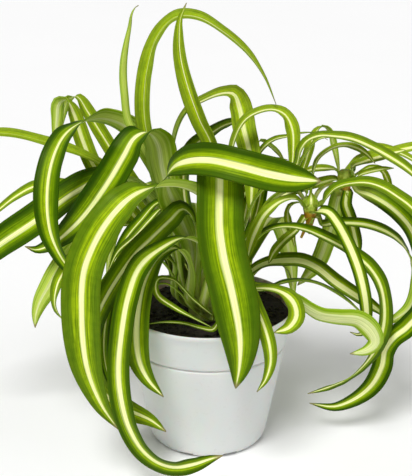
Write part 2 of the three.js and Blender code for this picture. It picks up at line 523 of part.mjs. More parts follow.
function potBody() {
  const profile = [
    [0, 0],
    [outerAt(0) - CORNER, 0],
    [outerAt(1.2) - 1.2, 1.2],
    [outerAt(CORNER), CORNER],
    [outerAt(STEP_HEIGHT) - STEP_DEPTH, STEP_HEIGHT - 0.6],
    [outerAt(STEP_HEIGHT), STEP_HEIGHT + 0.6],
    [RIM_RADIUS, POT_HEIGHT],
    [RIM_RADIUS - WALL, POT_HEIGHT],
    [outerAt(STEP_HEIGHT) - WALL, STEP_HEIGHT + 1.4],
    [innerStep, STEP_HEIGHT],
    [outerAt(CORNER) - WALL, CORNER],
    [outerAt(0) - CORNER - 0.4, FLOOR],
    [0, FLOOR],
  ];
  let body = solid(turned(profile, POT_SIDES));
  const reach = 8;
  for (let i = 0; i < NOTCHES; i += 1) {
    const cut = new THREE.BoxGeometry(reach, NOTCH_WIDTH, NOTCH_HEIGHT * 2);
    cut.translate(BASE_RADIUS - 0.5, 0, 0);
    cut.rotateZ((i + 0.5) * 2 * Math.PI / NOTCHES);
    body = body.subtract(solid(cut));
  }
  return geometryOf(body);
}

// ---- soil -----------------------------------------------------------------------------------

// Crumbs: a sum of waves that never repeats along a ring.
function crumble(x, y) {
  return 0.5 * Math.sin(x * 0.61 + 1.3) * Math.cos(y * 0.53) + 0.4 * Math.sin(x * 1.17 - y * 0.93 + 0.4);
}

function soilBody() {
  const wallAt = (z) => RIM_RADIUS - WALL - (POT_HEIGHT - z) * slope - SOIL_GAP;
  const top = [20, 28, 36, 43].map((r) => [r, SOIL_TOP]);
  const profile = [
    [0, FLOOR + SOIL_GAP],
    [outerAt(0) - CORNER - 0.7 - SOIL_GAP, FLOOR + SOIL_GAP],
    [outerAt(CORNER) - WALL - SOIL_GAP, CORNER + SOIL_GAP],
    [innerStep - SOIL_GAP, STEP_HEIGHT],
    [innerStep - SOIL_GAP + 0.3, STEP_HEIGHT + 1.2],
    [wallAt(SOIL_TOP), SOIL_TOP],
    ...top.reverse(),
    [SOIL_HOLE, SOIL_TOP],
    [SOIL_HOLE, SOIL_HOLE_FLOOR],
    [0, SOIL_HOLE_FLOOR],
  ];
  const geometry = turned(profile, SOIL_SIDES);
  const position = geometry.getAttribute('position');
  for (let i = 0; i < position.count; i += 1) {
    const [x, y, z] = [position.getX(i), position.getY(i), position.getZ(i)];
    const r = Math.hypot(x, y);
    if (z > SOIL_TOP - 0.01 && r > SOIL_HOLE + 1 && r < 46) {
      position.setZ(i, z + 1.4 * crumble(x, y));
    }
  }
  return geometryOf(solid(geometry));
}

// ---- crown ----------------------------------------------------------------------------------

// A tapering limb, such as a root, from a point in a direction.
function limb(from, direction, length, radius, tipRadius) {
  const geometry = new THREE.CylinderGeometry(tipRadius, radius, length, 6, 1);
  geometry.translate(0, length / 2, 0);
  const turn = new THREE.Quaternion();
  turn.setFromUnitVectors(new THREE.Vector3(0, 1, 0), direction.clone().normalize());
  geometry.applyQuaternion(turn);
  geometry.translate(from.x, from.y, from.z);
  return solid(geometry);
}

function crownBody() {
  const profile = [
    [0, CROWN_BOTTOM + 3], [6, CROWN_BOTTOM + 6], [10.5, 74], [CROWN_RADIUS, 82],
    ...RINGS.map(({ radius, height }) => [radius, height]),
    [4.5, CROWN_TOP], [0, CROWN_TOP + 1],
  ];
  let body = solid(turned(profile, 28));
  for (let i = 0; i < ROOTS; i += 1) {
    const angle = (i + 0.3) * 2 * Math.PI / ROOTS;
    const from = new THREE.Vector3(Math.cos(angle) * 5.5, Math.sin(angle) * 5.5, 77);
    const down = new THREE.Vector3(Math.cos(angle) * 0.16, Math.sin(angle) * 0.16, -1);
    body = body.add(limb(from, down, 15, 3.6, 1.8));
  }
  for (const [width, ring, bearing, stations] of SHORT_LEAVES) {
    const start = crownStart(ring, bearing, -SHORT_DEPTH);
    start.points.pop();
    body = body.add(solid(blade({ width, stations, start })));
  }
  return geometryOf(body);
}

// ---- stolon and young plants ----------------------------------------------------------------

function youngStart(at, ring, bearing, clear) {
  const { height, radius, rise } = YOUNG_RINGS[ring];
  const angle = bearing * Math.PI / 180;
  const climb = rise * Math.PI / 180;
  const outward = new THREE.Vector3(Math.cos(angle), Math.sin(angle), 0);
  const side = new THREE.Vector3(Math.sin(angle), -Math.cos(angle), 0);
  const base = at.clone().addScaledVector(outward, radius + clear);
  base.z += height;
  const next = base.clone().addScaledVector(outward, YOUNG_REACH * Math.cos(climb));
  next.z += YOUNG_REACH * Math.sin(climb);
  return { points: [base, next], side };
}

function stolonBody() {
  const outline = new THREE.Shape();
  outline.absarc(0, 0, STOLON_RADIUS, 0, 2 * Math.PI);
  const tubes = STOLON.map((stretch) => {
    const extrudePath = runThrough(stretch.map((place) => placed(...place)));
    const steps = stretch.length * 2;
    return solid(new THREE.ExtrudeGeometry(outline, { steps, curveSegments: 4, extrudePath }));
  });
  let body = tubes[0].add(tubes[1]);
  for (const { at, short, roots } of Object.values(YOUNG)) {
    const place = placed(...at);
    const crown = turned(YOUNG_PROFILE, 10);
    crown.translate(place.x, place.y, place.z);
    body = body.add(solid(crown));
    for (const [bearing, length, radius] of roots) {
      const angle = bearing * Math.PI / 180;
      const lean = new THREE.Vector3(Math.cos(angle) * 0.45, Math.sin(angle) * 0.3, -1);
      const from = place.clone().add(new THREE.Vector3(Math.cos(angle), Math.sin(angle), -4));
      body = body.add(limb(from, lean, length, radius, radius * 0.6));
    }
    for (const [width, ring, bearing, stations] of short) {
      const start = youngStart(place, ring, bearing, -YOUNG_DEPTH);
      body = body.add(solid(blade({ width, stations, start })));
    }
  }
  return geometryOf(body);
}

// ---- the plant ------------------------------------------------------------------------------

add('pot', potBody(), WHITE);
add('soil', soilBody(), PEAT);
add('crown', crownBody(), PALE);
add('stolon', stolonBody(), PALE);
for (const [name, width, ring, bearing, stations, taper] of LEAVES) {
  const start = crownStart(ring, bearing, LEAF_GAP + WIDE_GAP * width);
  add(name, blade({ width, stations, start, taper }), GREEN);
}
for (const { at, leaves } of Object.values(YOUNG)) {
  for (const [name, width, ring, bearing, stations] of leaves) {
    const start = youngStart(placed(...at), ring, bearing, YOUNG_GAP);
    add(name, blade({ width, stations, start }), GREEN);
  }
}

export default plant;
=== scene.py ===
import math
import random

import bmesh
import bpy
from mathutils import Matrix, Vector, noise


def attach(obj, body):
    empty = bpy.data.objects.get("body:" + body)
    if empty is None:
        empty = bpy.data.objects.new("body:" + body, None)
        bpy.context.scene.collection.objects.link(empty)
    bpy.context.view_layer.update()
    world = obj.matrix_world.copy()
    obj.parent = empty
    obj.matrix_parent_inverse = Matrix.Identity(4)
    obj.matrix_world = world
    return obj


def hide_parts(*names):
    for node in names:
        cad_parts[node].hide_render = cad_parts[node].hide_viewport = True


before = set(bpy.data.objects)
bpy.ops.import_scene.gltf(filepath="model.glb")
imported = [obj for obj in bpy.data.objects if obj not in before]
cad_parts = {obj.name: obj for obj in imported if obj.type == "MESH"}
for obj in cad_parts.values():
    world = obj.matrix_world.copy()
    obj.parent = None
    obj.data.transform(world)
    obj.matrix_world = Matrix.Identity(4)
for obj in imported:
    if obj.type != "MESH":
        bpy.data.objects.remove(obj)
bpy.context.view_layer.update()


# ---- the pot --------------------------------------------------------------------------------
# A thin moulded nursery pot of white polypropylene: a tapered cup with a stacking step below the
# rim, a rounded bottom edge and eight drainage notches. It is a little see-through and scuffed.
MM = 0.001
POT_HEIGHT = 87
RIM_RADIUS = 52
BASE_RADIUS = 35.5
POT_SLOPE = (RIM_RADIUS - BASE_RADIUS) / POT_HEIGHT
POT_SIDES = 144
WALL = 1.2
FLOOR = 1.4
# radius and height round the bottom edge, and over the lip, which is thicker than the wall
BOTTOM_EDGE = [(27, 0), (30.6, 0), (31.6, 0.08), (33.2, 0.55), (34.6, 1.5), (35.5, 2.7)]
LIP = [
    (51.75, 84.3), (51.95, 85.2), (RIM_RADIUS, 86.2), (51.8, 86.8), (51.45, POT_HEIGHT), (51.0, 86.95),
    (50.6, 86.5), (50.45, 85.6),
]
# heights from the stacking step, and how far the wall is set in there
STEP_HEIGHT = 64
STEP_DEPTH = 1.2
STEP_CUTS = [
    (-2, 0.1), (-1.1, 0.25), (-0.8, 0.9), (-0.6, STEP_DEPTH), (0, STEP_DEPTH), (0.3, 0.75), (0.5, 0.2),
    (0.8, 0),
]
NOTCHES = 8
NOTCH_WIDTH = 9
NOTCH_HEIGHT = 2.6
NOTCH_REACH = 8


def new_object(name, bm, material, slot, *nodes):
    """A finished mesh becomes a piece on the one body, standing for its CAD nodes."""
    bmesh.ops.recalc_face_normals(bm, faces=bm.faces)
    mesh = bpy.data.meshes.new(name)
    bm.to_mesh(mesh)
    bm.free()
    mesh.shade_smooth()
    mesh.materials.append(material)
    piece = bpy.data.objects.new(name, mesh)
    bpy.context.scene.collection.objects.link(piece)
    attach(piece, "root")
    if nodes:
        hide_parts(*nodes)
    return piece


def lathe(profile, sides):
    """A closed body spun about the Z axis from (radius, height) points in millimetres."""
    bm = bmesh.new()
    spots = [bm.verts.new((radius * MM, 0, height * MM)) for radius, height in profile]
    outline = [bm.edges.new(pair) for pair in zip(spots, spots[1:])]
    bmesh.ops.spin(bm, geom=spots + outline, cent=(0, 0, 0), axis=(0, 0, 1), angle=2 * math.pi,
                   steps=sides, use_merge=True)
    bmesh.ops.remove_doubles(bm, verts=bm.verts, dist=1e-5 * MM)
    return bm


class Shader:
    """A short way to write a node material."""

    def __init__(self, name):
        self.material = bpy.data.materials.new(name)
        self.material.use_nodes = True
        self.tree = self.material.node_tree
        self.principled = self.tree.nodes["Principled BSDF"]

    def node(self, kind, **inputs):
        made = self.tree.nodes.new(kind)
        for key, value in inputs.items():
            if hasattr(made, key):
                setattr(made, key, value)
            else:
                self.feed(made.inputs[key.replace("_", " ")], value)
        return made

    def feed(self, socket, value):
        if isinstance(value, bpy.types.NodeSocket):
            self.tree.links.new(value, socket)
        else:
            socket.default_value = value

    def math(self, operation, a, b=None, c=None):
        made = self.tree.nodes.new("ShaderNodeMath")
        made.operation = operation
        for socket, value in zip(made.inputs, (a, b, c)):
            if value is not None:
                self.feed(socket, value)
        return made.outputs[0]

    def smooth(self, value, low, high):
        """0 below low, 1 above high, and a smooth step between them."""
        made = self.tree.nodes.new("ShaderNodeMapRange")
        made.interpolation_type = "SMOOTHSTEP"
        self.feed(made.inputs["Value"], value)
        self.feed(made.inputs["From Min"], low)
        self.feed(made.inputs["From Max"], high)
        return made.outputs["Result"]

    def mix(self, share, a, b):
        """Colour b over colour a, by a share."""
        made = self.tree.nodes.new("ShaderNodeMix")
        made.data_type = "RGBA"
        self.feed(made.inputs["Factor"], share)
        for socket, value in ((made.inputs[6], a), (made.inputs[7], b)):
            self.feed(socket, value if isinstance(value, bpy.types.NodeSocket) else (*value, 1))
        return made.outputs[2]

    def noise(self, vector, scale, detail=2.0, roughness=0.5):
        made = self.tree.nodes.new("ShaderNodeTexNoise")
        self.feed(made.inputs["Vector"], vector)
        made.inputs["Scale"].default_value = scale
        made.inputs["Detail"].default_value = detail
        made.inputs["Roughness"].default_value = roughness
        return made.outputs["Fac"]

    def object_place(self):
        return self.tree.nodes.new("ShaderNodeTexCoord").outputs["Object"]

    def bump(self, height, strength, distance=0.0002):
        made = self.tree.nodes.new("ShaderNodeBump")
        made.inputs["Strength"].default_value = strength
        made.inputs["Distance"].default_value = distance
        self.feed(made.inputs["Height"], height)
        self.feed(self.principled.inputs["Normal"], made.outputs["Normal"])

    def finish(self, colour, roughness, **constants):
        self.feed(self.principled.inputs["Base Color"], colour)
        self.feed(self.principled.inputs["Roughness"], roughness)
        for key, value in constants.items():
            self.principled.inputs[key.replace("_", " ")].default_value = value
        return self.material


def linear(red, green, blue):
    """A colour as it is read off a screen, 0 to 255, in the shader's own scale."""
    shares = (red / 255, green / 255, blue / 255)
    return tuple(((c + 0.055) / 1.055) ** 2.4 if c > 0.04 else c / 12.92 for c in shares)


def pot_material():
    s = Shader("pot_plastic")
    place = s.object_place()
    cloud = s.noise(place, 18, 3)
    speck = s.noise(place, 420, 2)
    axes = s.node("ShaderNodeSeparateXYZ", Vector=place)
    height = axes.outputs["Z"]
    x2 = s.math("MULTIPLY", axes.outputs["X"], axes.outputs["X"])
    y2 = s.math("MULTIPLY", axes.outputs["Y"], axes.outputs["Y"])
    radius = s.math("SQRT", s.math("ADD", x2, y2))
    # the inner face, above the soil, is stained by peat and water
    skin = s.math("SUBTRACT", radius, s.math("MULTIPLY_ADD", height, POT_SLOPE, BASE_RADIUS * MM))
    inside = s.smooth(skin, -0.55 * MM, -0.9 * MM)
    high = s.smooth(height, 70 * MM, 80 * MM)
    stain = s.math("MULTIPLY", inside, high)
    blotch = s.smooth(s.noise(place, 90, 3), 0.35, 0.7)
    stain = s.math("MULTIPLY", stain, s.math("MULTIPLY_ADD", blotch, 0.5, 0.4))
    white = s.mix(cloud, linear(221, 222, 221), linear(210, 212, 210))
    foot = s.smooth(height, 9 * MM, 1 * MM)
    scuff = s.math("MULTIPLY", s.smooth(speck, 0.6, 0.72), s.math("MULTIPLY_ADD", foot, 0.35, 0.06))
    colour = s.mix(scuff, white, linear(160, 150, 140))
    colour = s.mix(stain, colour, linear(96, 84, 66))
    rough = s.math("MULTIPLY_ADD", s.noise(place, 60, 2), 0.15, 0.36)
    s.bump(s.noise(place, 160, 3), 0.12, 0.0003)
    return s.finish(colour, rough, Subsurface_Weight=0.25, Subsurface_Scale=0.004, IOR=1.49)


def pot_radius(height):
    """The radius of the tapered outer face."""
    return BASE_RADIUS + POT_SLOPE * height


def pot_profile():
    outside = [(0, 0), *BOTTOM_EDGE]
    outside += [(pot_radius(z), z) for z in (4, 6, 12, 20, 30, 40, 50, 58)]
    outside += [(pot_radius(STEP_HEIGHT + z) - depth, STEP_HEIGHT + z) for z, depth in STEP_CUTS]
    outside += [(pot_radius(z), z) for z in (66, 72, 79, 83.6)]
    inside = [(pot_radius(z) - WALL, z) for z in (83.5, 78, 72, 66.4)]
    step_inside = pot_radius(STEP_HEIGHT) - WALL
    inside += [(step_inside - STEP_DEPTH / 2, 65.2), (step_inside - STEP_DEPTH, STEP_HEIGHT)]
    inside += [(pot_radius(z) - WALL - 0.3, z) for z in (60, 40, 20, 5)]
    inside += [(32.5, 2.4), (30.5, FLOOR), (0, FLOOR)]
    return outside + LIP + inside


def cut_notches(piece):
    """The drainage notches go through the bottom edge."""
    bm = bmesh.new()
    for i in range(NOTCHES):
        made = bmesh.ops.create_cube(bm, size=1)["verts"]
        turn = (i + 0.5) * 2 * math.pi / NOTCHES
        for v in made:
            x = (BASE_RADIUS - 0.5 + v.co.x * NOTCH_REACH) * MM
            y = v.co.y * NOTCH_WIDTH * MM
            z = v.co.z * 2 * NOTCH_HEIGHT * MM
            v.co = (x * math.cos(turn) - y * math.sin(turn), x * math.sin(turn) + y * math.cos(turn), z)
    mesh = bpy.data.meshes.new("notch_cutter")
    bm.to_mesh(mesh)
    bm.free()
    cutter = bpy.data.objects.new("notch_cutter", mesh)
    bpy.context.scene.collection.objects.link(cutter)
    modifier = piece.modifiers.new("notches", "BOOLEAN")
    modifier.operation = "DIFFERENCE"
    modifier.solver = "EXACT"
    modifier.object = cutter
    bpy.context.view_layer.update()
    cut = bpy.data.meshes.new_from_object(piece.evaluated_get(bpy.context.evaluated_depsgraph_get()))
    piece.modifiers.clear()
    piece.data = cut
    bpy.data.objects.remove(cutter)
    bpy.data.meshes.remove(mesh)


pot = new_object("nursery_pot", lathe(pot_profile(), POT_SIDES), pot_material(), "pot", "pot")
cut_notches(pot)


# ---- the soil -------------------------------------------------------------------------------
# Dark, damp peat compost that fills the pot to a little below its rim, with loose crumbs on top. It
# has a plain hole where the crown of the plant stands.
SOIL_TOP = 81
SOIL_BOTTOM = 1.9
SOIL_RADIUS = pot_radius(SOIL_TOP) - WALL - 0.5
SOIL_SIDES = 120
SOIL_HOLE = 13
SOIL_HOLE_FLOOR = 60
CRUMBS = 420
CRUMB_SIZES = (0.5, 1.5)
CRUMB_SHAPE = (1.3, 0.8, 0.7)


def soil_material():
    s = Shader("peat")
    place = s.object_place()
    grain = s.noise(place, 600, 4, 0.65)
    clump = s.noise(place, 130, 3)
    colour = s.mix(s.smooth(grain, 0.3, 0.75), linear(9, 7, 5), linear(48, 36, 26))
    colour = s.mix(s.smooth(clump, 0.45, 0.8), colour, linear(26, 19, 13))
    rough = s.math("MULTIPLY_ADD", grain, 0.25, 0.7)
    s.bump(s.math("ADD", grain, clump), 0.9, 0.0012)
    return s.finish(colour, rough)


def soil_rise(spot):
    """How far the loose surface stands above or below its level, in millimetres."""
    grains = noise.fractal(spot * 160, 0.7, 2.1, 5) * 0.9
    hollows = noise.noise(spot * 45) * 0.7
    return min(1.2, grains + hollows) - 0.3


def add_crumbs(bm):
    draw = random.Random(4)
    for _ in range(CRUMBS):
        angle, flat = draw.uniform(0, 2 * math.pi), draw.uniform(SOIL_HOLE + 2, SOIL_RADIUS - 2)
        size = draw.uniform(*CRUMB_SIZES)
        crumb = bmesh.ops.create_icosphere(bm, subdivisions=1, radius=size * MM)["verts"]
        turn = draw.uniform(0, math.pi)
        for v in crumb:
            x, y, z = (part * share for part, share in zip(v.co, CRUMB_SHAPE))
            v.co.x = x * math.cos(turn) - y * math.sin(turn) + flat * math.cos(angle) * MM
            v.co.y = x * math.sin(turn) + y * math.cos(turn) + flat * math.sin(angle) * MM
            v.co.z = z + (SOIL_TOP + 0.2) * MM


def soil_piece():
    profile = [(0, SOIL_BOTTOM), (29.5, SOIL_BOTTOM), (32.5, 4.5)]
    profile += [(pot_radius(z) - WALL - 1.2, z) for z in (12, 30, 50, 62)]
    profile += [(pot_radius(64) - WALL - 2, 64), (pot_radius(66) - WALL - 0.6, 66)]
    profile += [(SOIL_RADIUS - 0.4, 78), (SOIL_RADIUS, SOIL_TOP - 1)]
    profile += [(SOIL_RADIUS - 1.2 * i, SOIL_TOP) for i in range(1, 29)]
    profile += [(SOIL_HOLE + 0.6, SOIL_TOP - 0.4), (SOIL_HOLE, SOIL_TOP - 2)]
    profile += [(SOIL_HOLE, SOIL_HOLE_FLOOR), (0, SOIL_HOLE_FLOOR)]
    bm = lathe(profile, SOIL_SIDES)
    for v in bm.verts:
        flat = math.hypot(v.co.x, v.co.y) / MM
        if v.co.z > (SOIL_TOP - 1.5) * MM and flat > SOIL_HOLE + 0.4:
            v.co.z += soil_rise(v.co) * MM
    add_crumbs(bm)
    return new_object("soil", bm, soil_material(), "soil", "soil")


soil_piece()


# ---- the crown and its short leaves ---------------------------------------------------------
# The pale, short stem that all the leaves grow from, sheathed in their bases, with thick roots in
# the soil. Four short leaves stay close to it. It is living tissue, waxy and slightly translucent.
# where leaves leave the stem: height, radius, and how steeply they rise in degrees
CROWN_RINGS = [(84, 12.0, 48), (89.5, 11.6, 60), (95, 10.6, 70), (100, 8.4, 80)]
CROWN_SIDES = 48
# how far a leaf runs on along that rise, and how clear of the stem it is laid out
FIRST_REACH = 13
LEAF_GAP = 0.5
WIDE_GAP = 0.045
# how far its foot then reaches back into the stem
LEAF_FOOT = 2.2
RIBS = 7
RIB_HEIGHT = 0.02
RIB_SLANT = 300
ROOTS = 5
ROOT_LENGTH = 15
ROOT_END = 1.8
ROOT_TOP = 3.6
ROOT_MIDDLE = 69.5
ROOT_FROM_AXIS = 5.5
ROOT_SPREAD = 0.16
# the front view that the leaves are laid out in, and that the camera takes too
LOOK_DOWN = math.radians(19.5)
EYE_DISTANCE = 600
MIDDLE_HEIGHT = 128
MIDDLE_ACROSS = -1.3
LINE_OF_SIGHT = Vector((0, math.cos(LOOK_DOWN), -math.sin(LOOK_DOWN)))


def placed(across, up, back):
    """A leaf station, laid out as seen from the front and a little above, in millimetres: across and
    up on a plane square to that line of sight, and back behind the pot's axis."""
    c, s = math.cos(LOOK_DOWN), math.sin(LOOK_DOWN)
    rise = (up * (EYE_DISTANCE + back * c) / EYE_DISTANCE - back * s) / (c + up * s / EYE_DISTANCE)
    depth = EYE_DISTANCE + back * c - rise * s
    return Vector((across * depth / EYE_DISTANCE + MIDDLE_ACROSS, back, MIDDLE_HEIGHT + rise))


class Run:
    """A smooth run through points (a centripetal Catmull-Rom spline), walked by its length."""

    FINENESS = 400
    NEAR = 1e-4

    def __init__(self, points):
        self.points = points
        self.last = len(points) - 1
        spots = [self.at(i / self.FINENESS) for i in range(self.FINENESS + 1)]
        self.lengths = [0.0]
        for a, b in zip(spots, spots[1:]):
            self.lengths.append(self.lengths[-1] + (b - a).length)
        self.length = self.lengths[-1]

    def at(self, u):
        place = min(max(u, 0), 1) * self.last
        k = min(int(place), self.last - 1)
        w = place - k
        p = self.points
        before = p[k - 1] if k > 0 else p[0] * 2 - p[1]
        after = p[k + 2] if k + 2 <= self.last else p[self.last] * 2 - p[self.last - 1]
        four = (before, p[k], p[k + 1], after)
        d0, d1, d2 = (max((b - a).length_squared ** 0.25, self.NEAR) for a, b in zip(four, four[1:]))
        a, b, c, d = four
        m1 = ((b - a) / d0 - (c - a) / (d0 + d1) + (c - b) / d1) * d1
        m2 = ((c - b) / d1 - (d - b) / (d1 + d2) + (d - c) / d2) * d1
        return (b * 2 - c * 2 + m1 + m2) * w ** 3 + (b * -3 + c * 3 - m1 * 2 - m2) * w ** 2 + m1 * w + b

    def heading(self, u):
        return (self.at(min(1, u + self.NEAR)) - self.at(max(0, u - self.NEAR))).normalized()

    def by_length(self, t):
        """The spline's own parameter at a share of its length."""
        want = t * self.length
        low, high = 0, len(self.lengths) - 1
        while high - low > 1:
            middle = (low + high) // 2
            if self.lengths[middle] <= want:
                low = middle
            else:
                high = middle
        span = self.lengths[high] - self.lengths[low]
        return (low + (want - self.lengths[low]) / max(span, 1e-9)) / (len(self.lengths) - 1)


def side_of(direction, turn):
    """Which way a blade's side points for a turn about its own run."""
    right = LINE_OF_SIGHT.cross(direction).normalized()
    front = right.cross(direction)
    angle = math.radians(turn)
    return right * math.cos(angle) + front * math.sin(angle)


def crown_start(ring, bearing, clear, foot=0.0):
    """The first two points of a leaf that leaves the crown, and which way its side points. Its foot
    reaches that far into the crown."""
    height, radius, rise = CROWN_RINGS[ring]
    angle, climb = math.radians(bearing), math.radians(rise)
    outward = Vector((math.cos(angle), math.sin(angle), 0))
    base = outward * (radius + clear) + Vector((0, 0, height))
    reach = outward * math.cos(climb) + Vector((0, 0, math.sin(climb)))
    side = Vector((math.sin(angle), -math.cos(angle), 0))
    return [base - outward * foot, base + reach * FIRST_REACH], side


# the blade's channel: how steeply its halves fold up at the foot and beyond, in degrees
FOLD_BASE = 52
FOLD_MIDDLE = 24
FOLD_END = 0.35
FOLD_NARROWS = 0.6
FOLD_LIFTS = 0.55
# its width: a share at the foot that opens to full, then closes from a share of the length on
BASE_SHARE = 0.42
OPENING_END = 0.4
OPENING_CURVE = 1.25
TAPER = 0.7
CLOSING_CURVE = 0.8
TIP_WIDTH = 0.5
# its thickness, which grows with its half width and thins to the edges
THIN = 0.25
THICKER = 0.05
THICKEST = 0.55
EDGE_THINS = 0.75
# its wavy edges
WAVES = (0.1, 0.3)
WAVE_PITCH = 0.16
# its points: rows along it, and columns across it
ROW_STEP = 2.2
COLUMNS = 12
# what the leaf's material reads off each point of a blade
BLADE_MARKS = ("across", "along", "distance", "under", "variant", "stripe", "tone_and_painted_shade")
VARIANT_STEP = 0.37


def between(a, b, share):
    """A direction part of the way round from one to another."""
    angle = min(a.angle(b), 3)
    if angle < 0.01:
        return a.copy()
    return (a * math.sin((1 - share) * angle) + b * math.sin(share * angle)) / math.sin(angle)


def side_stops(run, side, stations):
    """Which way a blade's side points at each point of its run. A station without a turn takes the
    way between its neighbours."""
    stops = [side] * (run.last + 1 - len(stations))
    for i, (*_, turn) in enumerate(stations, len(stops)):
        stops.append(None if turn is None else side_of(run.heading(i / run.last), turn))
    for i, stop in enumerate(stops):
        if stop is None:
            stops[i] = (stops[i - 1] + stops[i + 1]).normalized()
    return stops


def stance(run, stops, t):
    """A blade's middle at a share of its length, its side, and the way its upper face looks."""
    u = run.by_length(t)
    heading = run.heading(u)
    place = min(run.last - 1e-9, u * run.last)
    k = int(place)
    w = place - k
    side = between(stops[k], stops[k + 1], w * w * (3 - 2 * w))
    side = (side - heading * side.dot(heading)).normalized()
    return run.at(u), side, side.cross(heading)


def half_width(width, t, taper, base):
    """Half a blade's width at a share of its length."""
    opening = base + (1 - base) * min(1, t / OPENING_END) ** OPENING_CURVE
    closing = 1
    if t >= taper:
        closing = max(0, math.cos((t - taper) / (1 - taper) * math.pi / 2)) ** CLOSING_CURVE
    return max(TIP_WIDTH, width * opening * closing) / 2


def join_rings(bm, rings):
    """The faces from each ring of points to the next."""
    for low, high in zip(rings, rings[1:]):
        for k in range(len(low)):
            j = (k + 1) % len(low)
            bm.faces.new((low[k], low[j], high[j], high[k]))


def add_blade(bm, width, stations, start, seed, look, taper=TAPER, base=BASE_SHARE):
    """A channelled strap leaf, a third to half a millimetre thick, with a mark on every point."""
    points, side = start
    run = Run(points + [placed(*station[:3]) for station in stations])
    stops = side_stops(run, side, stations)
    floats = bm.verts.layers.float
    marks = [floats.get(name) or floats.new(name) for name in BLADE_MARKS]
    draw = random.Random(seed)
    phase, wave = draw.uniform(0, 6), draw.uniform(*WAVES)
    steps = max(10, round(run.length / ROW_STEP))
    rings = []
    for i in range(steps + 1):
        t = i / steps
        at, side, out = stance(run, stops, t)
        half = half_width(width, t, taper, base)
        fold = math.radians(FOLD_BASE + (FOLD_MIDDLE - FOLD_BASE) * min(1, t / FOLD_END))
        reach, lift = half * math.cos(fold * FOLD_NARROWS), half * math.sin(fold) * FOLD_LIFTS
        thick = min(THICKEST, THIN + THICKER * half)
        top, low = [], []
        for j in range(COLUMNS + 1):
            s = j / COLUMNS * 2 - 1
            ripple = wave * s * s * math.sin(t * run.length * WAVE_PITCH + phase + 2 * s)
            rise = lift * (0.75 * abs(s) ** 1.25 + 0.25 * s * s) + ripple * min(1, half / 4)
            spot = at + side * (reach * s) + out * rise
            depth = thick * (1 - EDGE_THINS * s ** 4)
            for row, under in ((top, 0.0), (low, 1.0)):
                v = bm.verts.new((spot - out * depth * under) * MM)
                says = (s, t, t * run.length, under, seed * VARIANT_STEP, *look)
                for mark, value in zip(marks, says):
                    v[mark] = value
                row.append(v)
        rings.append(top + low[::-1])
    join_rings(bm, rings)
    for ring in (rings[0], rings[-1]):
        for k in range(COLUMNS):
            bm.faces.new((ring[k], ring[k + 1], ring[-k - 2], ring[-k - 1]))


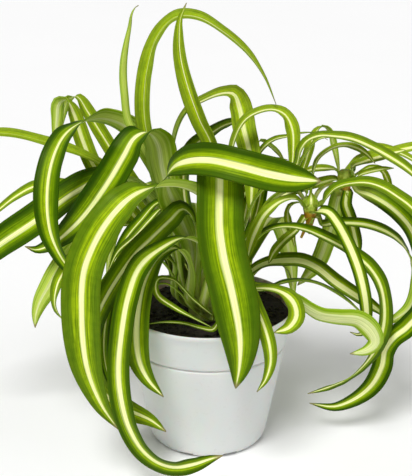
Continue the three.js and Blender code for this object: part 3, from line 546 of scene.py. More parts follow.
def leaf_material():
    s = Shader("striped_leaf")

    def attribute(name):
        return s.node("ShaderNodeAttribute", attribute_name=name).outputs["Fac"]

    across, along, distance, under, variant, stripe, tone_and_painted_shade = (attribute(name) for name in BLADE_MARKS)
    # fine lines run along the blade: the pattern is stretched far along it and dense across it
    line_place = s.node("ShaderNodeCombineXYZ", X=across, Y=s.math("MULTIPLY", distance, 0.0016), Z=variant)
    fine = s.noise(line_place.outputs[0], 8, 2, 0.6)
    thin = s.noise(line_place.outputs[0], 22, 1, 0.5)
    broad = s.noise(line_place.outputs[0], 3.4, 1, 0.5)
    cell_place = s.node("ShaderNodeCombineXYZ", X=across, Y=s.math("MULTIPLY", distance, 0.12), Z=variant)
    mottle = s.noise(cell_place.outputs[0], 2.2, 3, 0.55)

    drift = s.math("MULTIPLY_ADD", broad, 0.3, -0.15)
    off = s.math("ABSOLUTE", s.math("ADD", across, drift))
    ragged = s.math("MULTIPLY_ADD", fine, 0.24, -0.12)
    off_lines = s.math("ADD", off, ragged)
    cream = s.smooth(off_lines, s.math("ADD", stripe, 0.07), s.math("SUBTRACT", stripe, 0.07))
    # lime and dark lines beside the stripe, and a darker green out to the edges
    beside = s.smooth(off_lines, s.math("ADD", stripe, 0.5), s.math("ADD", stripe, 0.1))
    lines = s.smooth(fine, 0.46, 0.56)
    lime = s.math("MULTIPLY", beside, s.math("MULTIPLY_ADD", lines, 0.7, 0.25))
    margin = s.smooth(off, 0.4, 0.75)
    dark_lines = s.math("MULTIPLY", s.smooth(thin, 0.52, 0.42), s.smooth(off, 0.95, 0.6))

    # a leaf set darker is partly its own darker green and partly painted shade, and a leaf set paler is
    # partly painted light; its lime lines fade with it
    deep = s.mix(s.smooth(tone_and_painted_shade, 0.7, 1.0), linear(56, 94, 0), linear(34, 66, 0))
    green = s.mix(margin, linear(104, 140, 0), deep)
    green = s.mix(s.math("MULTIPLY", s.smooth(broad, 0.4, 0.65), 0.4), green, linear(74, 112, 0))
    green = s.mix(tone_and_painted_shade, s.mix(0.62, green, linear(172, 196, 44)), green)
    lime = s.math("MULTIPLY", lime, s.math("MULTIPLY_ADD", tone_and_painted_shade, -0.4, 1.1))
    top = s.mix(lime, green, linear(182, 208, 20))
    top = s.mix(s.math("MULTIPLY", dark_lines, 0.5), top, linear(52, 84, 0))
    cells = s.smooth(mottle, 0.62, 0.3)
    top = s.mix(s.math("MULTIPLY", cells, 0.2), top, linear(46, 78, 2))
    pale = s.mix(s.math("MULTIPLY", dark_lines, 0.4), linear(252, 253, 184), linear(206, 220, 92))
    top = s.mix(cream, top, pale)
    # the underside is duller and paler, and its stripe is faint; the paleness is partly its own colour and
    # partly painted light, standing in for light that shines through the blade
    base = s.mix(margin, linear(186, 208, 84), linear(124, 160, 14))
    base = s.mix(s.math("MULTIPLY", lines, 0.35), base, linear(208, 224, 116))
    base = s.mix(s.math("MULTIPLY", cream, 0.8), base, linear(228, 234, 172))
    base = s.mix(s.math("MULTIPLY", dark_lines, 0.3), base, linear(96, 126, 16))
    colour = s.mix(under, top, base)
    # pale at the foot, dry and brown at the very tip
    foot = s.smooth(along, 0.16, 0.0)
    colour = s.mix(s.math("MULTIPLY", foot, 0.5), colour, linear(190, 202, 96))
    dry = s.smooth(s.math("ADD", along, s.math("MULTIPLY_ADD", mottle, 0.02, -0.01)), 0.975, 0.992)
    colour = s.mix(s.math("MULTIPLY", dry, 0.8), colour, linear(136, 124, 84))
    rough = s.math("MULTIPLY_ADD", mottle, 0.16, s.math("MULTIPLY_ADD", under, 0.12, 0.34))
    veins = s.math("SINE", s.math("MULTIPLY", across, 46.0))
    height = s.math("MULTIPLY_ADD", veins, 0.35, fine)
    s.bump(height, 0.35, 0.0002)
    return s.finish(colour, rough, Subsurface_Weight=0.05, Subsurface_Scale=0.0015,
                    Specular_IOR_Level=0.12, Specular_Tint=(0.9, 1, 0.35, 1))


striped_leaf = leaf_material()


def tissue_material():
    s = Shader("pale_stem")
    place = s.object_place()
    streak = s.noise(place, 240, 3)
    colour = s.mix(s.smooth(streak, 0.35, 0.7), linear(188, 200, 116), linear(140, 162, 62))
    blotch = s.smooth(s.noise(place, 70, 2), 0.5, 0.75)
    colour = s.mix(s.math("MULTIPLY", blotch, 0.4), colour, linear(206, 196, 130))
    s.bump(streak, 0.3)
    return s.finish(colour, s.math("MULTIPLY_ADD", streak, 0.2, 0.35), Subsurface_Weight=0.15)


pale_stem = tissue_material()
# A short leaf starts that deep in the stem. A row gives its width, the ring and the bearing it leaves
# the stem at, and its stations: across, up, back, and its turn about its own run.
SHORT_DEPTH = 2.5
SHORT_LOOK = (0.2, 0.6)
SHORT_SEED = 300
SHORT_LEAVES = [
  [4.5, 0, 286, [[3, -49, -20, -90], [-8, -42, -28, -90], [-16, -32, -32, -90], [-24, -27, -34, -90],
    [-32, -29, -36, -80], [-38, -36, -38, -70], [-40, -44, -38, -60]]],
  [4, 0, 280, [[3, -45, -22, -60], [-8, -36, -32, -60], [-20, -24.5, -38, -60], [-28.5, -24.5, -40, -40],
    [-29, -33, -42, 0], [-19, -41, -45, 40], [-8, -47, -48, 60], [4, -53, -50, 60]]],
  [3.5, 0, 282, [[7, -48, -28, 60], [4, -54, -37, None], [-4, -53, -41, -60],
    [-13, -50.5, -42, -70], [-25, -49.8, -40, -70], [-36, -51, -36, -70]]],
  [7, 0, 36, [[20, -32, 10, 80], [31, -19, 14, 80], [40, -14, 16, 80], [48, -19, 16, 90],
    [51, -28, 15, 100]]],
]


def crown_piece():
    profile = [(0, 66), (6, 69), (9.6, 73.5), (11.6, 79)]
    profile += [(radius, height) for height, radius, _ in CROWN_RINGS]
    profile += [(6.4, 102), (3.8, 103.4), (0, 104)]
    bm = lathe(profile, CROWN_SIDES)
    for v in bm.verts:
        # leaf bases wrap the stem, which leaves low ribs on it
        rib = 1 + RIB_HEIGHT * math.sin(RIBS * math.atan2(v.co.y, v.co.x) + v.co.z * RIB_SLANT)
        v.co.x *= rib
        v.co.y *= rib
    for i in range(ROOTS):
        angle = (i + 0.3) * 2 * math.pi / ROOTS
        root = bmesh.ops.create_cone(bm, cap_ends=True, segments=14, radius1=ROOT_END * MM,
                                     radius2=ROOT_TOP * MM, depth=ROOT_LENGTH * MM)["verts"]
        for v in root:
            away = ROOT_FROM_AXIS * MM + ROOT_SPREAD * (ROOT_LENGTH / 2 * MM - v.co.z)
            v.co += Vector((away * math.cos(angle), away * math.sin(angle), ROOT_MIDDLE * MM))
    return new_object("crown", bm, pale_stem, "stem", "crown")


crown_piece()
bm = bmesh.new()
for number, (width, ring, bearing, stations) in enumerate(SHORT_LEAVES):
    points, side = crown_start(ring, bearing, -SHORT_DEPTH)
    add_blade(bm, width, stations, (points[:1], side), SHORT_SEED + number, SHORT_LOOK)
new_object("short_leaves", bm, striped_leaf, "stem", "crown")


# ---- the long leaves of the mother plant -----------------------------------------------------
# Each is one channelled strap leaf, striped cream along the middle and dark green at the edges,
# that rises from the crown, arches over and hangs.

# A row gives a leaf's name, and the rest as for a short leaf. A turn of 0 shows its upper face to the
# front. A last number is the share of its length where it starts to close, where that isn't TAPER.
LEAVES = [
  ["leaf_left_far", 10, 1, 138,
    [[-25, 5, 20, -120], [-50, 36, 25, -90], [-66, 46, 27, -60], [-92, 56, 28, -50],
      [-122, 62, 30, -50], [-145, 58, 30, -50], [-160, 48, 28, -50]]],
  ["leaf_left_hoop", 16, 2, 138,
    [[-18, 10, 15, -165], [-31, 45, 18, -160], [-44, 64, 20, -145], [-60, 71, 16, -120],
      [-73, 68.5, 6, -75], [-84, 60, -4, -40], [-91, 45, -14, -20], [-94, 25, -23, -12],
      [-92.5, 5, -30, -15], [-87, -9, -35, -35], [-78, -22, -38, -45], [-68, -34, -38, -45]]],
  ["leaf_left_hairpin", 11, 0, 124,
    [[-28, -4, 26, 0], [-50, 22, 32, 0], [-66, 42, 34, -10], [-73, 58, 36, -20], [-78, 73, 38, -40],
      [-83, 82, 39, -90], [-87, 79, 38, -150], [-88, 70, 36, -175], [-89, 58, 34, -180],
      [-90, 48, 33, -180]]],
  ["leaf_left_peak", 9.5, 1, 120,
    [[-22, 0, 34, 0], [-38, 25, 42, 0], [-52, 46, 44, 0], [-62, 62, 45, -10], [-70, 75, 46, -20],
      [-76, 83.5, 48, -60], [-81, 82, 50, -130], [-84, 74, 50, -160], [-86, 62, 48, -180]]],
  ["leaf_left_wide", 22, 1, 166,
    [[-24, 8, 9.5, -150], [-42, 32, 11, -100], [-58, 36, 11, -60], [-76, 28, 10, -30],
      [-102, 9.5, 6, -22], [-122, -4, 4, -22], [-140, -19, 4, -20], [-154, -34, 6, -10]]],
  ["leaf_left_thin", 9.5, 0, 146,
    [[-26, -6, 14, -110], [-45, 24, 18, -90], [-62, 32, 20, -70], [-76, 31, 20, -55],
      [-90, 32, 20, -45], [-102, 30, 19, -40], [-113, 24, 18, -40], [-122, 17, 17, -40],
      [-138, 4, 15, -40]]],
  ["leaf_left_dark", 20, 2, 186,
    [[-16, -2, -2, -130], [-21, 20, -1, -170], [-26, 42, -3, -165], [-28.5, 56, -6, -150],
      [-34, 62.5, -11, -90], [-42, 59, -15, -40], [-48, 49, -18, -20], [-57, 34, -20, -15],
      [-69, 17, -17, -15], [-80, 5, -13, -15], [-90, -3, -11, -20], [-100, -7, -13, -25],
      [-107, -5, -16, -30]]],
  ["leaf_left_long", 22, 2, 252,
    [[5, -2, -18, -150], [3, 18, -27, -125], [-10, 29, -40, -105], [-28, 30.5, -53, -90],
      [-42, 25.5, -60, -50], [-52, 17, -64, -30], [-64, 0, -67, -15], [-72, -20, -69, -8],
      [-73.5, -45, -71, -5], [-70.5, -75, -71, -5], [-62, -98, -69, -10], [-52, -113, -66, -15]]],
  ["leaf_left_inner_stripe", 14, 1, 244,
    [[-5, -8, -18, -110], [-8, 12, -28, -80], [-14, 17, -31, -50], [-21, 10.6, -34, -25],
      [-33, -1, -41, -20], [-42, -10, -44, -20], [-57, -32, -50, -20], [-64, -47, -53, -20],
      [-66, -63, -54, -20], [-64, -80, -54, -30]]],
  ["leaf_left_inner_thin", 6, 1, 223,
    [[-18, -6, -10.5, -150], [-20.5, 14, -12, -130], [-26, 17.5, -18, -90], [-33, 11, -24, -40],
      [-42, 1, -29, -30], [-52, -8, -33, -30], [-58, -20, -35, -30]]],
  ["leaf_left_inner_dark", 8, 1, 207,
    [[-15, 0, -6, -140], [-18, 19, -8, -120], [-28, 21, -11, -60], [-38, 11, -16, -40],
      [-47, 0, -17, -30], [-54, -14, -16, -30], [-58, -30, -16, -30]]],
  ["leaf_left_curl", 13, 0, 262,
    [[2, -11, -29, -110], [-12, 0, -43, -90], [-27, -6.5, -54, -50], [-39, -17, -58, -20],
      [-46, -35, -64, -10], [-50, -58, -68, -8], [-51.5, -80, -70, -8], [-49.5, -98, -72, -15],
      [-45.5, -112, -73, -25], [-38, -125, -74, -35], [-29, -132.5, -75, -40], [-19, -135.5, -76, -35],
      [-8, -134, -76, -15], [3, -130.5, -75, 0], [10, -128.5, -74, 0]], 0.86],
  ["leaf_left_shadow", 9, 0, 212,
    [[-19, -24, -17, -90], [-31, -11, -25, -70], [-45, -17, -34, -40], [-55, -32, -41, -25],
      [-59.5, -52, -48, -20], [-60, -70, -51, -20], [-57, -84, -53, -20], [-54, -93, -54, -20]]],
  ["leaf_left_low", 14, 0, 188,
    [[-20, -14, -8, -90], [-38, -9, -18, -60], [-54, -24, -31, -40], [-63, -45, -38, -30],
      [-66, -66, -42, -25], [-64.5, -84, -45, -20], [-57, -95, -49, -10], [-45, -102, -53, 0],
      [-33, -107.5, -56, 5], [-23.5, -114.5, -57, 5]], 0.8],
  ["leaf_left_front", 15, 0, 237,
    [[-10, -16, -26, -100], [-18, -6, -33, -80], [-28, -11, -39, -50], [-36, -24, -46, -20],
      [-40, -40, -53, -10], [-41, -60, -58, -5], [-39, -74, -60, 5], [-34, -84, -61, 15],
      [-25, -94, -60, 20]]],
  ["leaf_left_pale", 13, 0, 166,
    [[-24, -12, 0.5, -60], [-46, 8, 4, -100], [-62, 8, 3, -140], [-76, -4, 0, -165],
      [-86, -17, -6, -175], [-93, -29, -10, -178], [-98, -38, -12, -178], [-100.5, -46, -13, -180],
      [-101, -53, -13, -180]], 0.78],
  ["leaf_left_bend", 9, 1, 192,
    [[-20, -6, -1, -120], [-34, 4, -5, -90], [-52, 8, -10, -60], [-68, 0, -17, -40],
      [-80, -14, -24, -30], [-88, -28, -29, -30], [-89, -41, -33, -60], [-83, -49, -36, -90],
      [-74, -49, -38, -110]]],
  ["leaf_top_thin", 5, 3, 165,
    [[-16, 20, 2, 150], [-30, 40, 4, 150], [-40, 58, 5, 155], [-46, 70, 7, 160],
      [-48, 85, 9, 160], [-48.8, 95, 11, 160], [-48.5, 105, 12, 160], [-47, 115, 13, 155],
      [-45, 125, 15, 150], [-44.2, 131, 14, 150], [-43.2, 134, 14, 150], [-41.5, 136.5, 14, 150],
      [-39.8, 137.5, 14, 150]]],
  ["leaf_top_arch", 12, 3, 135,
    [[-12, 5, 7, 60], [-25.5, 35, 10, 50], [-35, 62, 12, 40], [-37, 80, 14, 35], [-35, 100, 16, 40],
      [-29, 119, 16, 45], [-18, 130.5, 15, 50], [-5, 130.5, 14, 50], [10, 122, 12, 55],
      [24, 110, 10, 60], [34, 96, 8, 65], [41.5, 79, 6, 70]]],
  ["leaf_top_upright", 11, 3, 338,
    [[6, 0, -2, 35], [6, 30, -3, 35], [3, 55, -3, 35], [-4, 70, -2, 35], [-11, 90, -1, 35],
      [-15, 107, 0, 35], [-15.8, 120, 0, 35], [-15, 130, 0, 35], [-13.3, 134.5, 0, 35],
      [-11.5, 139, 0, 35]]],
  ["leaf_top_fold", 15, 2, 93,
    [[-10, 5, 25, 100], [-19, 40, 30, 90], [-18, 60, 30, 80], [-11, 75, 29, 75], [0, 82, 28, 65],
      [10, 85.5, 28, 60], [16.5, 85, 27, 45], [20, 77, 25, 20], [22.5, 64, 20, 10],
      [25, 54, 15, 5], [27, 42, 10, 0], [27, 30, 6, 0], [26.5, 18, 4, 0], [26, 9, 3, 0]]],
  ["leaf_top_dark", 12, 1, 90,
    [[-10, 10, 36, 40], [-13, 40, 43, 40], [-8, 53, 44, 40], [2, 61, 44, 45], [12, 67, 43, 50],
      [20, 68, 41, 60], [25, 61, 39, 80], [26, 52, 38, 90]]],
  ["leaf_top_hoop", 10.5, 3, 10,
    [[13, 8, 2, 90], [14.5, 35, 2, 80], [16.5, 57, 3, 70], [24, 70.5, 5, 65], [38, 76, 6, 60],
      [46.5, 73, 5, 45], [51, 64, 3, 15], [51.5, 52, 1, 5], [50.5, 40, -1, 0], [49, 33, -2, 0]]],
  ["leaf_back_thin", 6, 1, 60,
    [[18, 20, 27, 60], [26, 38, 30, 60], [30, 48, 33, 55], [35.5, 55, 33, 55], [41, 58.5, 32, 60],
      [48, 60, 31, 65], [57, 62, 30, 70], [65, 62, 29, 80], [72, 58, 28, 90]]],
  ["leaf_back_hoop", 7, 1, 38,
    [[24, -2, 24, 60], [42, 20, 34, 60], [56, 38, 39, 40], [61, 52, 41, 30], [64.5, 62, 42, 60],
      [69, 66, 42, 90], [73, 63, 42, 110], [76, 53, 41, 150], [78, 43, 40, 170], [79, 36, 39, 180]]],
  ["leaf_back_low", 8, 0, 75,
    [[17, -6, 26, 40], [26, 28, 34, 30], [28, 50, 38, 40], [32, 57.5, 42, 90], [38, 54.5, 42, 120],
      [43, 50, 41, 150], [47, 44, 40, 170]]],
  ["leaf_inner_dark", 8, 2, 24,
    [[17, -12, 7, 0], [24, 0, 10, 0], [29, 12, 12, 0], [32, 24, 13, 0], [34, 36, 13, 10],
      [37.5, 45, 13, 50], [43, 47.3, 13, 80], [49, 46, 12, 90]]],
  ["leaf_front_across", 19, 3, 225,
    [[-9, -4, -12.5, 165], [-18, 18, -22, 150], [-23.5, 33, -26, 105], [-19, 42, -35, 60],
      [-10, 45.5, -43, 25], [3, 45.8, -51, 12], [20, 42.2, -57, 8], [36, 38, -58, 8],
      [50, 35.3, -57, 8], [60, 34.3, -55, 10], [68, 33.5, -52, 15]], 0.84],
  ["leaf_front_hanging", 26, 3, 280,
    [[10, -2, -14, 180], [11, 25, -16, 180], [10, 41, -21, 178], [9, 46.5, -30, None],
      [8.5, 40, -41, 0], [8.5, 25, -49, 0], [8.6, 5, -56, 0], [11, -12, -60, 0],
      [15.5, -30, -62, 0], [19, -48, -65, 0], [20.5, -62, -66, 3], [20, -76, -66, 5],
      [17.5, -89, -65, 8]], 0.76],
  ["leaf_front_crescent", 8.5, 1, 290,
    [[14, -16, -24, 0], [24, -28, -42, 0], [30, -42, -55, 0], [34.5, -53, -60, 0],
      [37.5, -64, -62, 0], [38, -74, -61, 0], [35, -84, -60, 0], [30, -91, -59, 0]]],
  ["leaf_over_rim", 10, 0, 300,
    [[15, -33, -26, 90], [27, -30, -32, 80], [42, -31, -36, 60], [51, -37, -38, 20],
      [53.5, -46, -40, 0], [49, -53, -42, -10], [40, -56, -44, -20]], 0.8],
  ["leaf_right_arch", 11, 2, 350,
    [[16, -14, -3, 90], [23, 6, -4, 90], [30, 24, -6, 90], [40, 33, -9, 90], [49, 36, -10, 90],
      [54, 44, -10, 80], [56, 52, -10, 75], [60, 57.5, -9, 70], [67, 60.3, -8, 65], [76, 60, -6, 60],
      [86, 58.5, -4, 55], [96, 54.5, -2, 50], [108, 48, 0, 45], [120, 40, 2, 45], [132, 27, 4, 40],
      [139, 12, 5, 30]]],
  ["leaf_right_high", 8, 2, 47,
    [[17, -8, 17, 80], [26, 14, 23, 80], [36, 33, 25, 80], [50, 36, 24, 80], [58, 48, 24, 80],
      [66, 58, 23, 75], [76, 60, 22, 65], [88, 58.5, 20, 60], [97, 54.5, 18, 55], [106, 53, 17, 50],
      [115, 50, 16, 50], [124, 45, 15, 50], [136, 34, 14, 45], [143, 22, 13, 40]]],
  ["leaf_right_low", 14, 0, 322,
    [[22, -30, -20, 60], [32, -29, -23, 80], [46, -32, -26, 100], [57, -40, -29, 120],
      [67, -46, -32, 130], [78, -47.8, -33, 135], [90, -49, -34, 140], [97.5, -55, -34, 160],
      [100, -62, -33, 175], [95, -66.5, -32, 180], [85, -68.5, -31, 180]]],
  ["leaf_right_band", 10.5, 0, 353,
    [[24, -31, -5, 80], [34, -31, -8, 80], [44, -27, -12, 85], [56, -25.3, -14, 85],
      [66, -27, -15, 85], [76, -32, -16, 85], [86, -39, -17, 85], [92, -45, -17, 85],
      [97, -51, -17, 80]]],
  ["leaf_right_pale", 13, 0, 14,
    [[27, -20, 4, 60], [36, -15, 4, 60], [48, -13.5, 2, 50], [57, -14, 1, 45], [66, -18, 0, 45],
      [76, -26, -1, 45], [88, -34, -3, 45], [96, -39, -4, 45], [102, -43, -5, 45],
      [106, -48, -6, 50]], 0.8],
  ["leaf_right_sweep", 13, 1, 332,
    [[18, -20, -11, 90], [27, -5, -13, 80], [35, 3.5, -14, 75], [46, 6.5, -13, 70], [58, 5, -11, 65],
      [68, 1, -9, 60], [78, -4, -8, 55], [88, -10, -8, 50], [97, -18, -9, 45], [103, -28, -10, 40],
      [105.5, -42, -11, 40], [104.3, -55, -12, 40], [99.5, -67, -12, 45], [92.5, -76, -12, 60],
      [85, -82.5, -12, 75], [78, -86, -12, 60], [70, -89, -12, 30], [60, -92, -12, 20]]],
  ["leaf_back_middle", 16, 3, 95,
    [[2, 10, 24, 0], [3, 35, 44, 0], [3, 44, 62, None], [3, 38, 82, 180], [3, 18, 98, 180],
      [3, -10, 106, 180], [3, -35, 108, 180]]],
  ["leaf_back_middle_low", 14, 0, 100,
    [[-3, -8, 34, 0], [-5, 18, 60, 0], [-6, 20, 78, None], [-8, 8, 94, 180], [-10, -16, 102, 180],
      [-11, -42, 104, 180]]],
  ["leaf_back_left", 8, 2, 115.5,
    [[-20, 8, 30, 0], [-30, 28, 50, 0], [-38, 32, 64, None], [-48, 22, 82, 180],
      [-55, 0, 94, 180], [-59, -24, 98, 180]]],
  ["leaf_back_right", 12, 2, 67,
    [[8, 5, 28, 0], [13, 24, 48, 0], [16, 30, 62, None], [20, 22, 80, 180], [24, 2, 92, 180],
      [26, -22, 96, 180]]],
  ["leaf_back_right_low", 13, 0, 56,
    [[22, -14, 30, 0], [34, 8, 52, 0], [40, 12, 68, None], [46, 4, 84, 180], [50, -14, 94, 180],
      [52, -36, 98, 180]]],
]

# Half the cream stripe's width as a share of the half blade, and how dark the green is. That darkness
# is partly a leaf's own tone and partly painted shade on the leaves deep in the plant and on its left;
# the top and right leaves are set paler, which is painted light.
LOOKS = {
    "leaf_left_hoop": (0.12, 1.0),
    "leaf_left_hairpin": (0.22, 0.2),
    "leaf_left_peak": (0.1, 0.2),
    "leaf_left_dark": (0.14, 1.0),
    "leaf_left_long": (0.16, 0.75),
    "leaf_left_far": (0.0, 0.05),
    "leaf_left_thin": (0.14, 0.5),
    "leaf_left_wide": (0.14, 1.0),
    "leaf_left_curl": (0.24, 0.95),
    "leaf_left_inner_stripe": (0.12, 0.9),
    "leaf_left_inner_dark": (0.1, 1.0),
    "leaf_left_inner_thin": (0.14, 0.9),
    "leaf_left_shadow": (0.12, 1.0),
    "leaf_left_front": (0.2, 0.8),
    "leaf_top_thin": (0.0, 0.15),
    "leaf_top_upright": (0.08, 0.2),
    "leaf_top_arch": (0.0, 0.15),
    "leaf_top_fold": (0.18, 0.0),
    "leaf_top_dark": (0.14, 0.9),
    "leaf_top_hoop": (0.16, 0.1),
    "leaf_front_hanging": (0.12, 0.9),
    "leaf_front_across": (0.19, 0.95),
    "leaf_inner_dark": (0.1, 1.0),
    "leaf_back_hoop": (0.1, 0.1),
    "leaf_over_rim": (0.3, 0.55),
    "leaf_right_high": (0.14, 0.05),
    "leaf_right_arch": (0.2, 0.55),
    "leaf_right_band": (0.22, 0.9),
    "leaf_right_pale": (0.36, 0.85),
    "leaf_right_low": (0.5, 0.7),
    "leaf_right_sweep": (0.18, 0.9),
    "plantlet_front_leaf_white": (0.36, 1.0),
    "plantlet_front_leaf_low": (0.24, 0.95),
    "plantlet_front_leaf_right": (0.16, 0.6),
    "plantlet_back_leaf_sweep": (0.22, 1.0),
    "plantlet_back_leaf_dark": (0.3, 1.0),
}
PLAIN_LOOK = (0.15, 0.6)

for number, (name, width, ring, bearing, stations, *late) in enumerate(LEAVES):
    bm = bmesh.new()
    start = crown_start(ring, bearing, LEAF_GAP + WIDE_GAP * width, LEAF_FOOT)
    add_blade(bm, width, stations, start, number, LOOKS.get(name, PLAIN_LOOK), *late)
    new_object(name + "_striped", bm, striped_leaf, "leaf", name)


# ---- the runner and the two young plants ----------------------------------------------------
# A thin pale runner rises from the crown. It carries two young plants, each with a short crown,
# tan below, root stubs that hang in the air, and a few short leaves that are one piece with it.
RUNNER_RADIUS = 1.3
RUNNER_SIDES = 12
RUNNER_STEP = 1.8
RUNNER = [
  [[1.3, -21.4, 0], [2, -12, 3], [5, 3, 8], [12, 16, 9], [22, 25, 9], [33, 31, 7], [44, 33.5, 6],
    [53, 29, 6], [59, 21, 4], [61.5, 13.5, 0]],
  [[61.5, 13.5, 0], [63.5, 21, 4], [66, 27, 8], [70, 31, 11], [76, 32, 13], [82, 30, 14]],
]
YOUNG_PROFILE = [
  [0, -8], [1.5, -7.6], [2.2, -5], [3.2, -1], [4.1, 3], [4.7, 6.5], [4.5, 9], [3, 10.6], [0, 11],
]
YOUNG_SIDES = 28
# where leaves leave a young crown: height above its middle, and radius
YOUNG_RINGS = [(-0.5, 3.4), (3, 4.2), (6.5, 4.8), (8.8, 4.6)]
# how clear of it a long leaf leaves, how deep in it a short one does, and where their sheaths start
YOUNG_GAP = 0.4
YOUNG_DEPTH = 1.2
SHEATH_RADIUS = 0.8
SHEATH_DEPTH = 4.5
YOUNG_BASE = 0.9
# the young leaves are set palest: partly their own young green, partly painted light
YOUNG_LOOK = (0.24, 0.0)
YOUNG_SEED = 500
YOUNG_SHORT_SEED = 400
# a root stub starts below the middle, leans out, thins, and takes its colour from lower still
STUB_START = -4
STUB_LEAN = (0.45, 0.3)
STUB_SIDES = 10
STUB_THINS = 0.6
STUB_CLIMB = -9
# leaves as above; a root stub gives its bearing, its length and its radius
YOUNG = {
  "front": {
    "at": [61.5, 13.5, 0],
    "leaves": [
      ["plantlet_front_leaf_left", 9.5, 2, 190,
        [[54.5, 22.5, -3, -80], [49.5, 23.2, -6, -70], [43, 21, -10, -60], [35, 14, -14, -50],
          [30, 5, -18, -45], [26.5, -4, -22, -40], [24.5, -13, -25, -40]]],
      ["plantlet_front_leaf_hoop", 7, 3, 270,
        [[62.4, 27.5, 0, 90], [63.5, 38, -1, 85], [66, 46, 1, 75], [72, 51.5, 3, 70],
          [80, 54.5, 4, 60], [88, 53.5, 3, 40], [95, 49.5, 1, 30], [100, 44, 0, 30]]],
      ["plantlet_front_leaf_right", 10.5, 2, 340,
        [[68.5, 19.5, -3.5, 80], [72, 25, -6, 70], [77, 29.7, -8, 65], [86, 32.3, -10, 60],
          [96, 32.5, -12, 50], [105, 29.5, -13, 40], [113, 24.5, -14, 35], [121, 18.5, -15, 30],
          [128, 10, -16, 20], [133, 0, -16, 10]]],
      ["plantlet_front_leaf_white", 8, 1, 300,
        [[68, 16, -10, 40], [72.5, 15, -14, 15], [77.5, 9, -18, 0], [83, -1, -20, 0],
          [87, -10, -22, 0], [90.5, -20, -24, 0], [93.5, -33, -25, 0], [94.8, -45, -25, 0],
          [94, -54, -24, 10], [90.5, -57, -23, 30], [85, -55.5, -22, 30]]],
      ["plantlet_front_leaf_low", 10, 0, 355,
        [[68, 7.5, 0, 60], [76, 8.5, 0, 50], [85, 8.6, 0, 50], [95, 7.6, 0, 50], [105, 4.3, 0, 50],
          [113, -0.7, 0, 55], [119, -8, 0, 75], [123, -18, 0, 110], [124.5, -30, 0, 150],
          [120.5, -41, 0, 170], [112, -47.5, 0, 175], [101, -52, 0, 175]]],
    ],
    "short": [
      [6, 3, 140, [[59, 28, 5, -120], [53, 29, 5, -110], [46, 27, 4, -120], [40, 22.5, 3, -130],
        [36, 16.5, 2, -140], [34, 10, 2, -150]]],
      [8, 0, 200, [[54, 5, 1, -60], [46, -2, -2, -50], [40, -9, -4, -40], [37, -15, -5, -40]]],
      [5, 1, 120, [[55, 21, 10, -90], [49, 18, 14, -60], [48.5, 11, 15, -20], [51, 2, 15, 0],
        [52.5, -5, 15, 0]]],
    ],
    "roots": [[200, 10.5, 1.25], [265, 7, 1.1]],
  },
  "back": {
    "at": [82, 30, 14],
    "leaves": [
      ["plantlet_back_leaf_top", 9.5, 2, 350,
        [[86.5, 42, 12, 80], [92, 44.5, 11, 65], [98, 46.5, 10, 55], [105, 48.5, 9, 50],
          [112, 50.5, 8, 50], [118, 52, 8, 50]]],
      ["plantlet_back_leaf_sweep", 13, 1, 320,
        [[89, 28, 9, 45], [97, 25, 6, 25], [106, 20, 3, 20], [114, 13.5, 0, 20],
          [121, 5, -3, 20], [127, -10, -6, 20], [129.5, -26, -7, 10], [127, -42, -6, 0],
          [119, -52.5, -5, -20], [111, -59, -4, -30], [106, -66, -3, -20], [104, -76, -4, -10],
          [98, -87, -5, 0], [88, -95, -5, 10], [76, -99.5, -5, 20], [66, -98.5, -4, 20],
          [61, -97.5, -3, 20]]],
      ["plantlet_back_leaf_dark", 8, 0, 287,
        [[82.5, 20, 9, 0], [84.8, 13, 7, 0], [87, 5, 6, 0], [89, -4, 5, 0], [90, -12, 5, 0]]],
      ["plantlet_back_leaf_grey", 11, 0, 232,
        [[77.5, 21, 20, 180], [75, 9, 22, 180], [71, -3, 23, 180], [66.5, -14, 23, 180],
          [61, -21, 22, 180], [54, -28, 21, 180]]],
      ["plantlet_back_leaf_high", 9.5, 3, 40,
        [[87.5, 43, 20, 70], [92, 47, 24, 60], [98, 49, 27, 55], [108, 50, 28, 50],
          [118, 52.5, 29, 50], [130, 55, 29, 50], [140, 57, 29, 50]]],
    ],
    "short": [
      [6, 2, 310, [[87, 34.5, 6, 80], [91.5, 37.5, 2, 65], [98, 39.5, 1, 55], [105, 40.8, 1, 50],
        [111, 41.3, 1, 50]]],
      [7, 2, 185, [[77, 40, 14, -75], [69, 41, 13, -50], [61, 40, 12, -50], [56, 38, 12, -50]]],
      [9, 1, 195, [[77, 34.5, 12, -70], [66, 32, 10, -45], [54, 28.5, 9, -45], [44, 24, 7, -45],
        [36, 18, 5, -45], [30, 11, 4, -45]]],
      [5, 1, 30, [[90, 38, 20, 80], [98, 42, 22, 60], [104, 40, 22, 30], [107.5, 34, 21, 0],
        [110, 26, 20, 0]]],
    ],
    "roots": [[230, 4, 1.3], [290, 3, 1.2]],
  },
}


def young_start(place, ring, bearing, clear, first):
    """A young plant's leaf sheathes its crown before it leaves it, and doesn't twist on its way to its
    first station."""
    angle = math.radians(bearing)
    outward = Vector((math.cos(angle), math.sin(angle), 0))
    height, radius = YOUNG_RINGS[ring]
    sheath = place + outward * SHEATH_RADIUS + Vector((0, 0, height - SHEATH_DEPTH))
    base = place + outward * (radius + clear) + Vector((0, 0, height))
    side = Vector((math.sin(angle), -math.cos(angle), 0))
    heading = (placed(*first[:3]) - base).normalized()
    return [sheath, base], side if side.dot(side_of(heading, first[3])) > 0 else -side


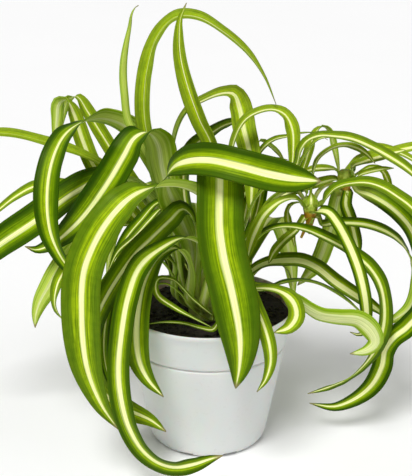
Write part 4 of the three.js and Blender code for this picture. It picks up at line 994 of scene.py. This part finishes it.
def add_tube(bm, points, radius, sides=RUNNER_SIDES, end_share=1.0):
    """A round stem along points, which may thin to its end. It gives back the stem's vertices."""
    run = Run(points)
    steps = max(6, round(run.length / RUNNER_STEP))
    rings = []
    up = Vector((0.3, 0.1, 1)).normalized()
    for i in range(steps + 1):
        t = i / steps
        u = run.by_length(t)
        heading = run.heading(u)
        up = (up - heading * up.dot(heading)).normalized()
        side = heading.cross(up)
        size = radius * (1 + (end_share - 1) * t)
        ring = []
        for k in range(sides):
            angle = 2 * math.pi * k / sides
            spot = run.at(u) + side * (size * math.cos(angle)) + up * (size * math.sin(angle))
            ring.append(bm.verts.new(spot * MM))
        rings.append(ring)
    join_rings(bm, rings)
    bm.faces.new(rings[0])
    bm.faces.new(rings[-1][::-1])
    return [v for ring in rings for v in ring]


def young_material():
    s = Shader("young_crown")
    place = s.object_place()
    climb = s.node("ShaderNodeAttribute", attribute_name="climb").outputs["Fac"]
    streak = s.noise(place, 300, 3)
    tan = s.mix(s.smooth(streak, 0.3, 0.7), linear(158, 108, 8), linear(192, 150, 30))
    dark = s.smooth(s.noise(place, 500, 2), 0.55, 0.7)
    tan = s.mix(s.math("MULTIPLY", dark, 0.5), tan, linear(104, 72, 10))
    sheath = s.mix(s.smooth(streak, 0.35, 0.65), linear(136, 164, 24), linear(190, 208, 84))
    height = s.math("MULTIPLY_ADD", streak, 4.0, climb)
    colour = s.mix(s.smooth(height, 3.0, 6.5), tan, sheath)
    s.bump(streak, 0.5, 0.0004)
    return s.finish(colour, s.math("MULTIPLY_ADD", streak, 0.2, 0.5), Subsurface_Weight=0.1)


bm = bmesh.new()
for stretch in RUNNER:
    add_tube(bm, [placed(*place) for place in stretch], RUNNER_RADIUS)
new_object("runner", bm, pale_stem, "stem", "stolon")
tan_crown = young_material()


def young_crown(which, place, stubs):
    bm = lathe(YOUNG_PROFILE, YOUNG_SIDES)
    climb = bm.verts.layers.float.new("climb")
    for v in bm.verts:
        v[climb] = v.co.z / MM
        v.co += place * MM
    for bearing, length, radius in stubs:
        angle = math.radians(bearing)
        out = Vector((math.cos(angle), math.sin(angle), 0))
        lean = Vector((out.x * STUB_LEAN[0], out.y * STUB_LEAN[1], -1)).normalized()
        top = place + out + Vector((0, 0, STUB_START))
        along = [top, top + lean * length * 0.5, top + lean * length]
        for v in add_tube(bm, along, radius, STUB_SIDES, STUB_THINS):
            v[climb] = STUB_CLIMB
    return new_object("young_crown_" + which, bm, tan_crown, "stem", "stolon")


for which, plant in YOUNG.items():
    place = placed(*plant["at"])
    young_crown(which, place, plant["roots"])
    bm = bmesh.new()
    for number, (width, ring, bearing, stations) in enumerate(plant["short"], YOUNG_SHORT_SEED):
        start = young_start(place, ring, bearing, -YOUNG_DEPTH, stations[0])
        add_blade(bm, width, stations, start, number, YOUNG_LOOK, base=YOUNG_BASE)
    new_object("young_short_leaves_" + which, bm, striped_leaf, "leaf", "stolon")
    for number, (name, width, ring, bearing, stations) in enumerate(plant["leaves"], YOUNG_SEED):
        bm = bmesh.new()
        start = young_start(place, ring, bearing, YOUNG_GAP, stations[0])
        add_blade(bm, width, stations, start, number, LOOKS.get(name, YOUNG_LOOK), base=YOUNG_BASE)
        new_object(name + "_striped", bm, striped_leaf, "leaf", name)


# ---- the studio -----------------------------------------------------------------------------
# A plain pale floor, a broad soft light from the front left and above, a weak one from the right,
# and the camera a little above the plant.
FLOOR_RADIUS = 6
SKY_STRENGTH = 0.33
LENS = 76.8
SENSOR = 36


def studio():
    bm = bmesh.new()
    bmesh.ops.create_circle(bm, cap_ends=True, segments=64, radius=FLOOR_RADIUS)
    mesh = bpy.data.meshes.new("floor")
    bm.to_mesh(mesh)
    bm.free()
    floor = bpy.data.objects.new("floor", mesh)
    bpy.context.scene.collection.objects.link(floor)
    s = Shader("floor_white")
    cloud = s.noise(s.object_place(), 3, 2)
    mesh.materials.append(s.finish(s.mix(cloud, (0.96, 0.96, 0.96), (0.94, 0.94, 0.94)), 0.7))

    world = bpy.data.worlds.new("studio")
    bpy.context.scene.world = world
    world.use_nodes = True
    world.node_tree.nodes["Background"].inputs["Color"].default_value = (1, 1, 1, 1)
    world.node_tree.nodes["Background"].inputs["Strength"].default_value = SKY_STRENGTH

    def soft_sun(name, bearing, climb, strength, softness):
        """A broad distant lamp, which lights the floor evenly."""
        data = bpy.data.lights.new(name, "SUN")
        data.energy = strength
        data.angle = math.radians(softness)
        lamp = bpy.data.objects.new(name, data)
        turn, rise = math.radians(bearing), math.radians(climb)
        towards = Vector((math.cos(turn) * math.cos(rise), math.sin(turn) * math.cos(rise), math.sin(rise)))
        lamp.rotation_euler = towards.to_track_quat("Z", "Y").to_euler()
        bpy.context.scene.collection.objects.link(lamp)

    soft_sun("key", bearing=-112, climb=56, strength=2.6, softness=24)
    soft_sun("fill", bearing=-30, climb=35, strength=0.35, softness=40)

    camera_data = bpy.data.cameras.new("camera")
    camera_data.lens = LENS
    camera_data.sensor_width = SENSOR
    camera_data.sensor_fit = "AUTO"
    camera = bpy.data.objects.new("camera", camera_data)
    target = Vector((MIDDLE_ACROSS, 0, MIDDLE_HEIGHT)) * MM
    camera.location = target - LINE_OF_SIGHT * (EYE_DISTANCE * MM)
    camera.rotation_euler = LINE_OF_SIGHT.to_track_quat("-Z", "Y").to_euler()
    bpy.context.scene.collection.objects.link(camera)
    bpy.context.scene.camera = camera
    # plain colours, as a product photograph has them
    bpy.context.scene.view_settings.view_transform = "Standard"


studio()
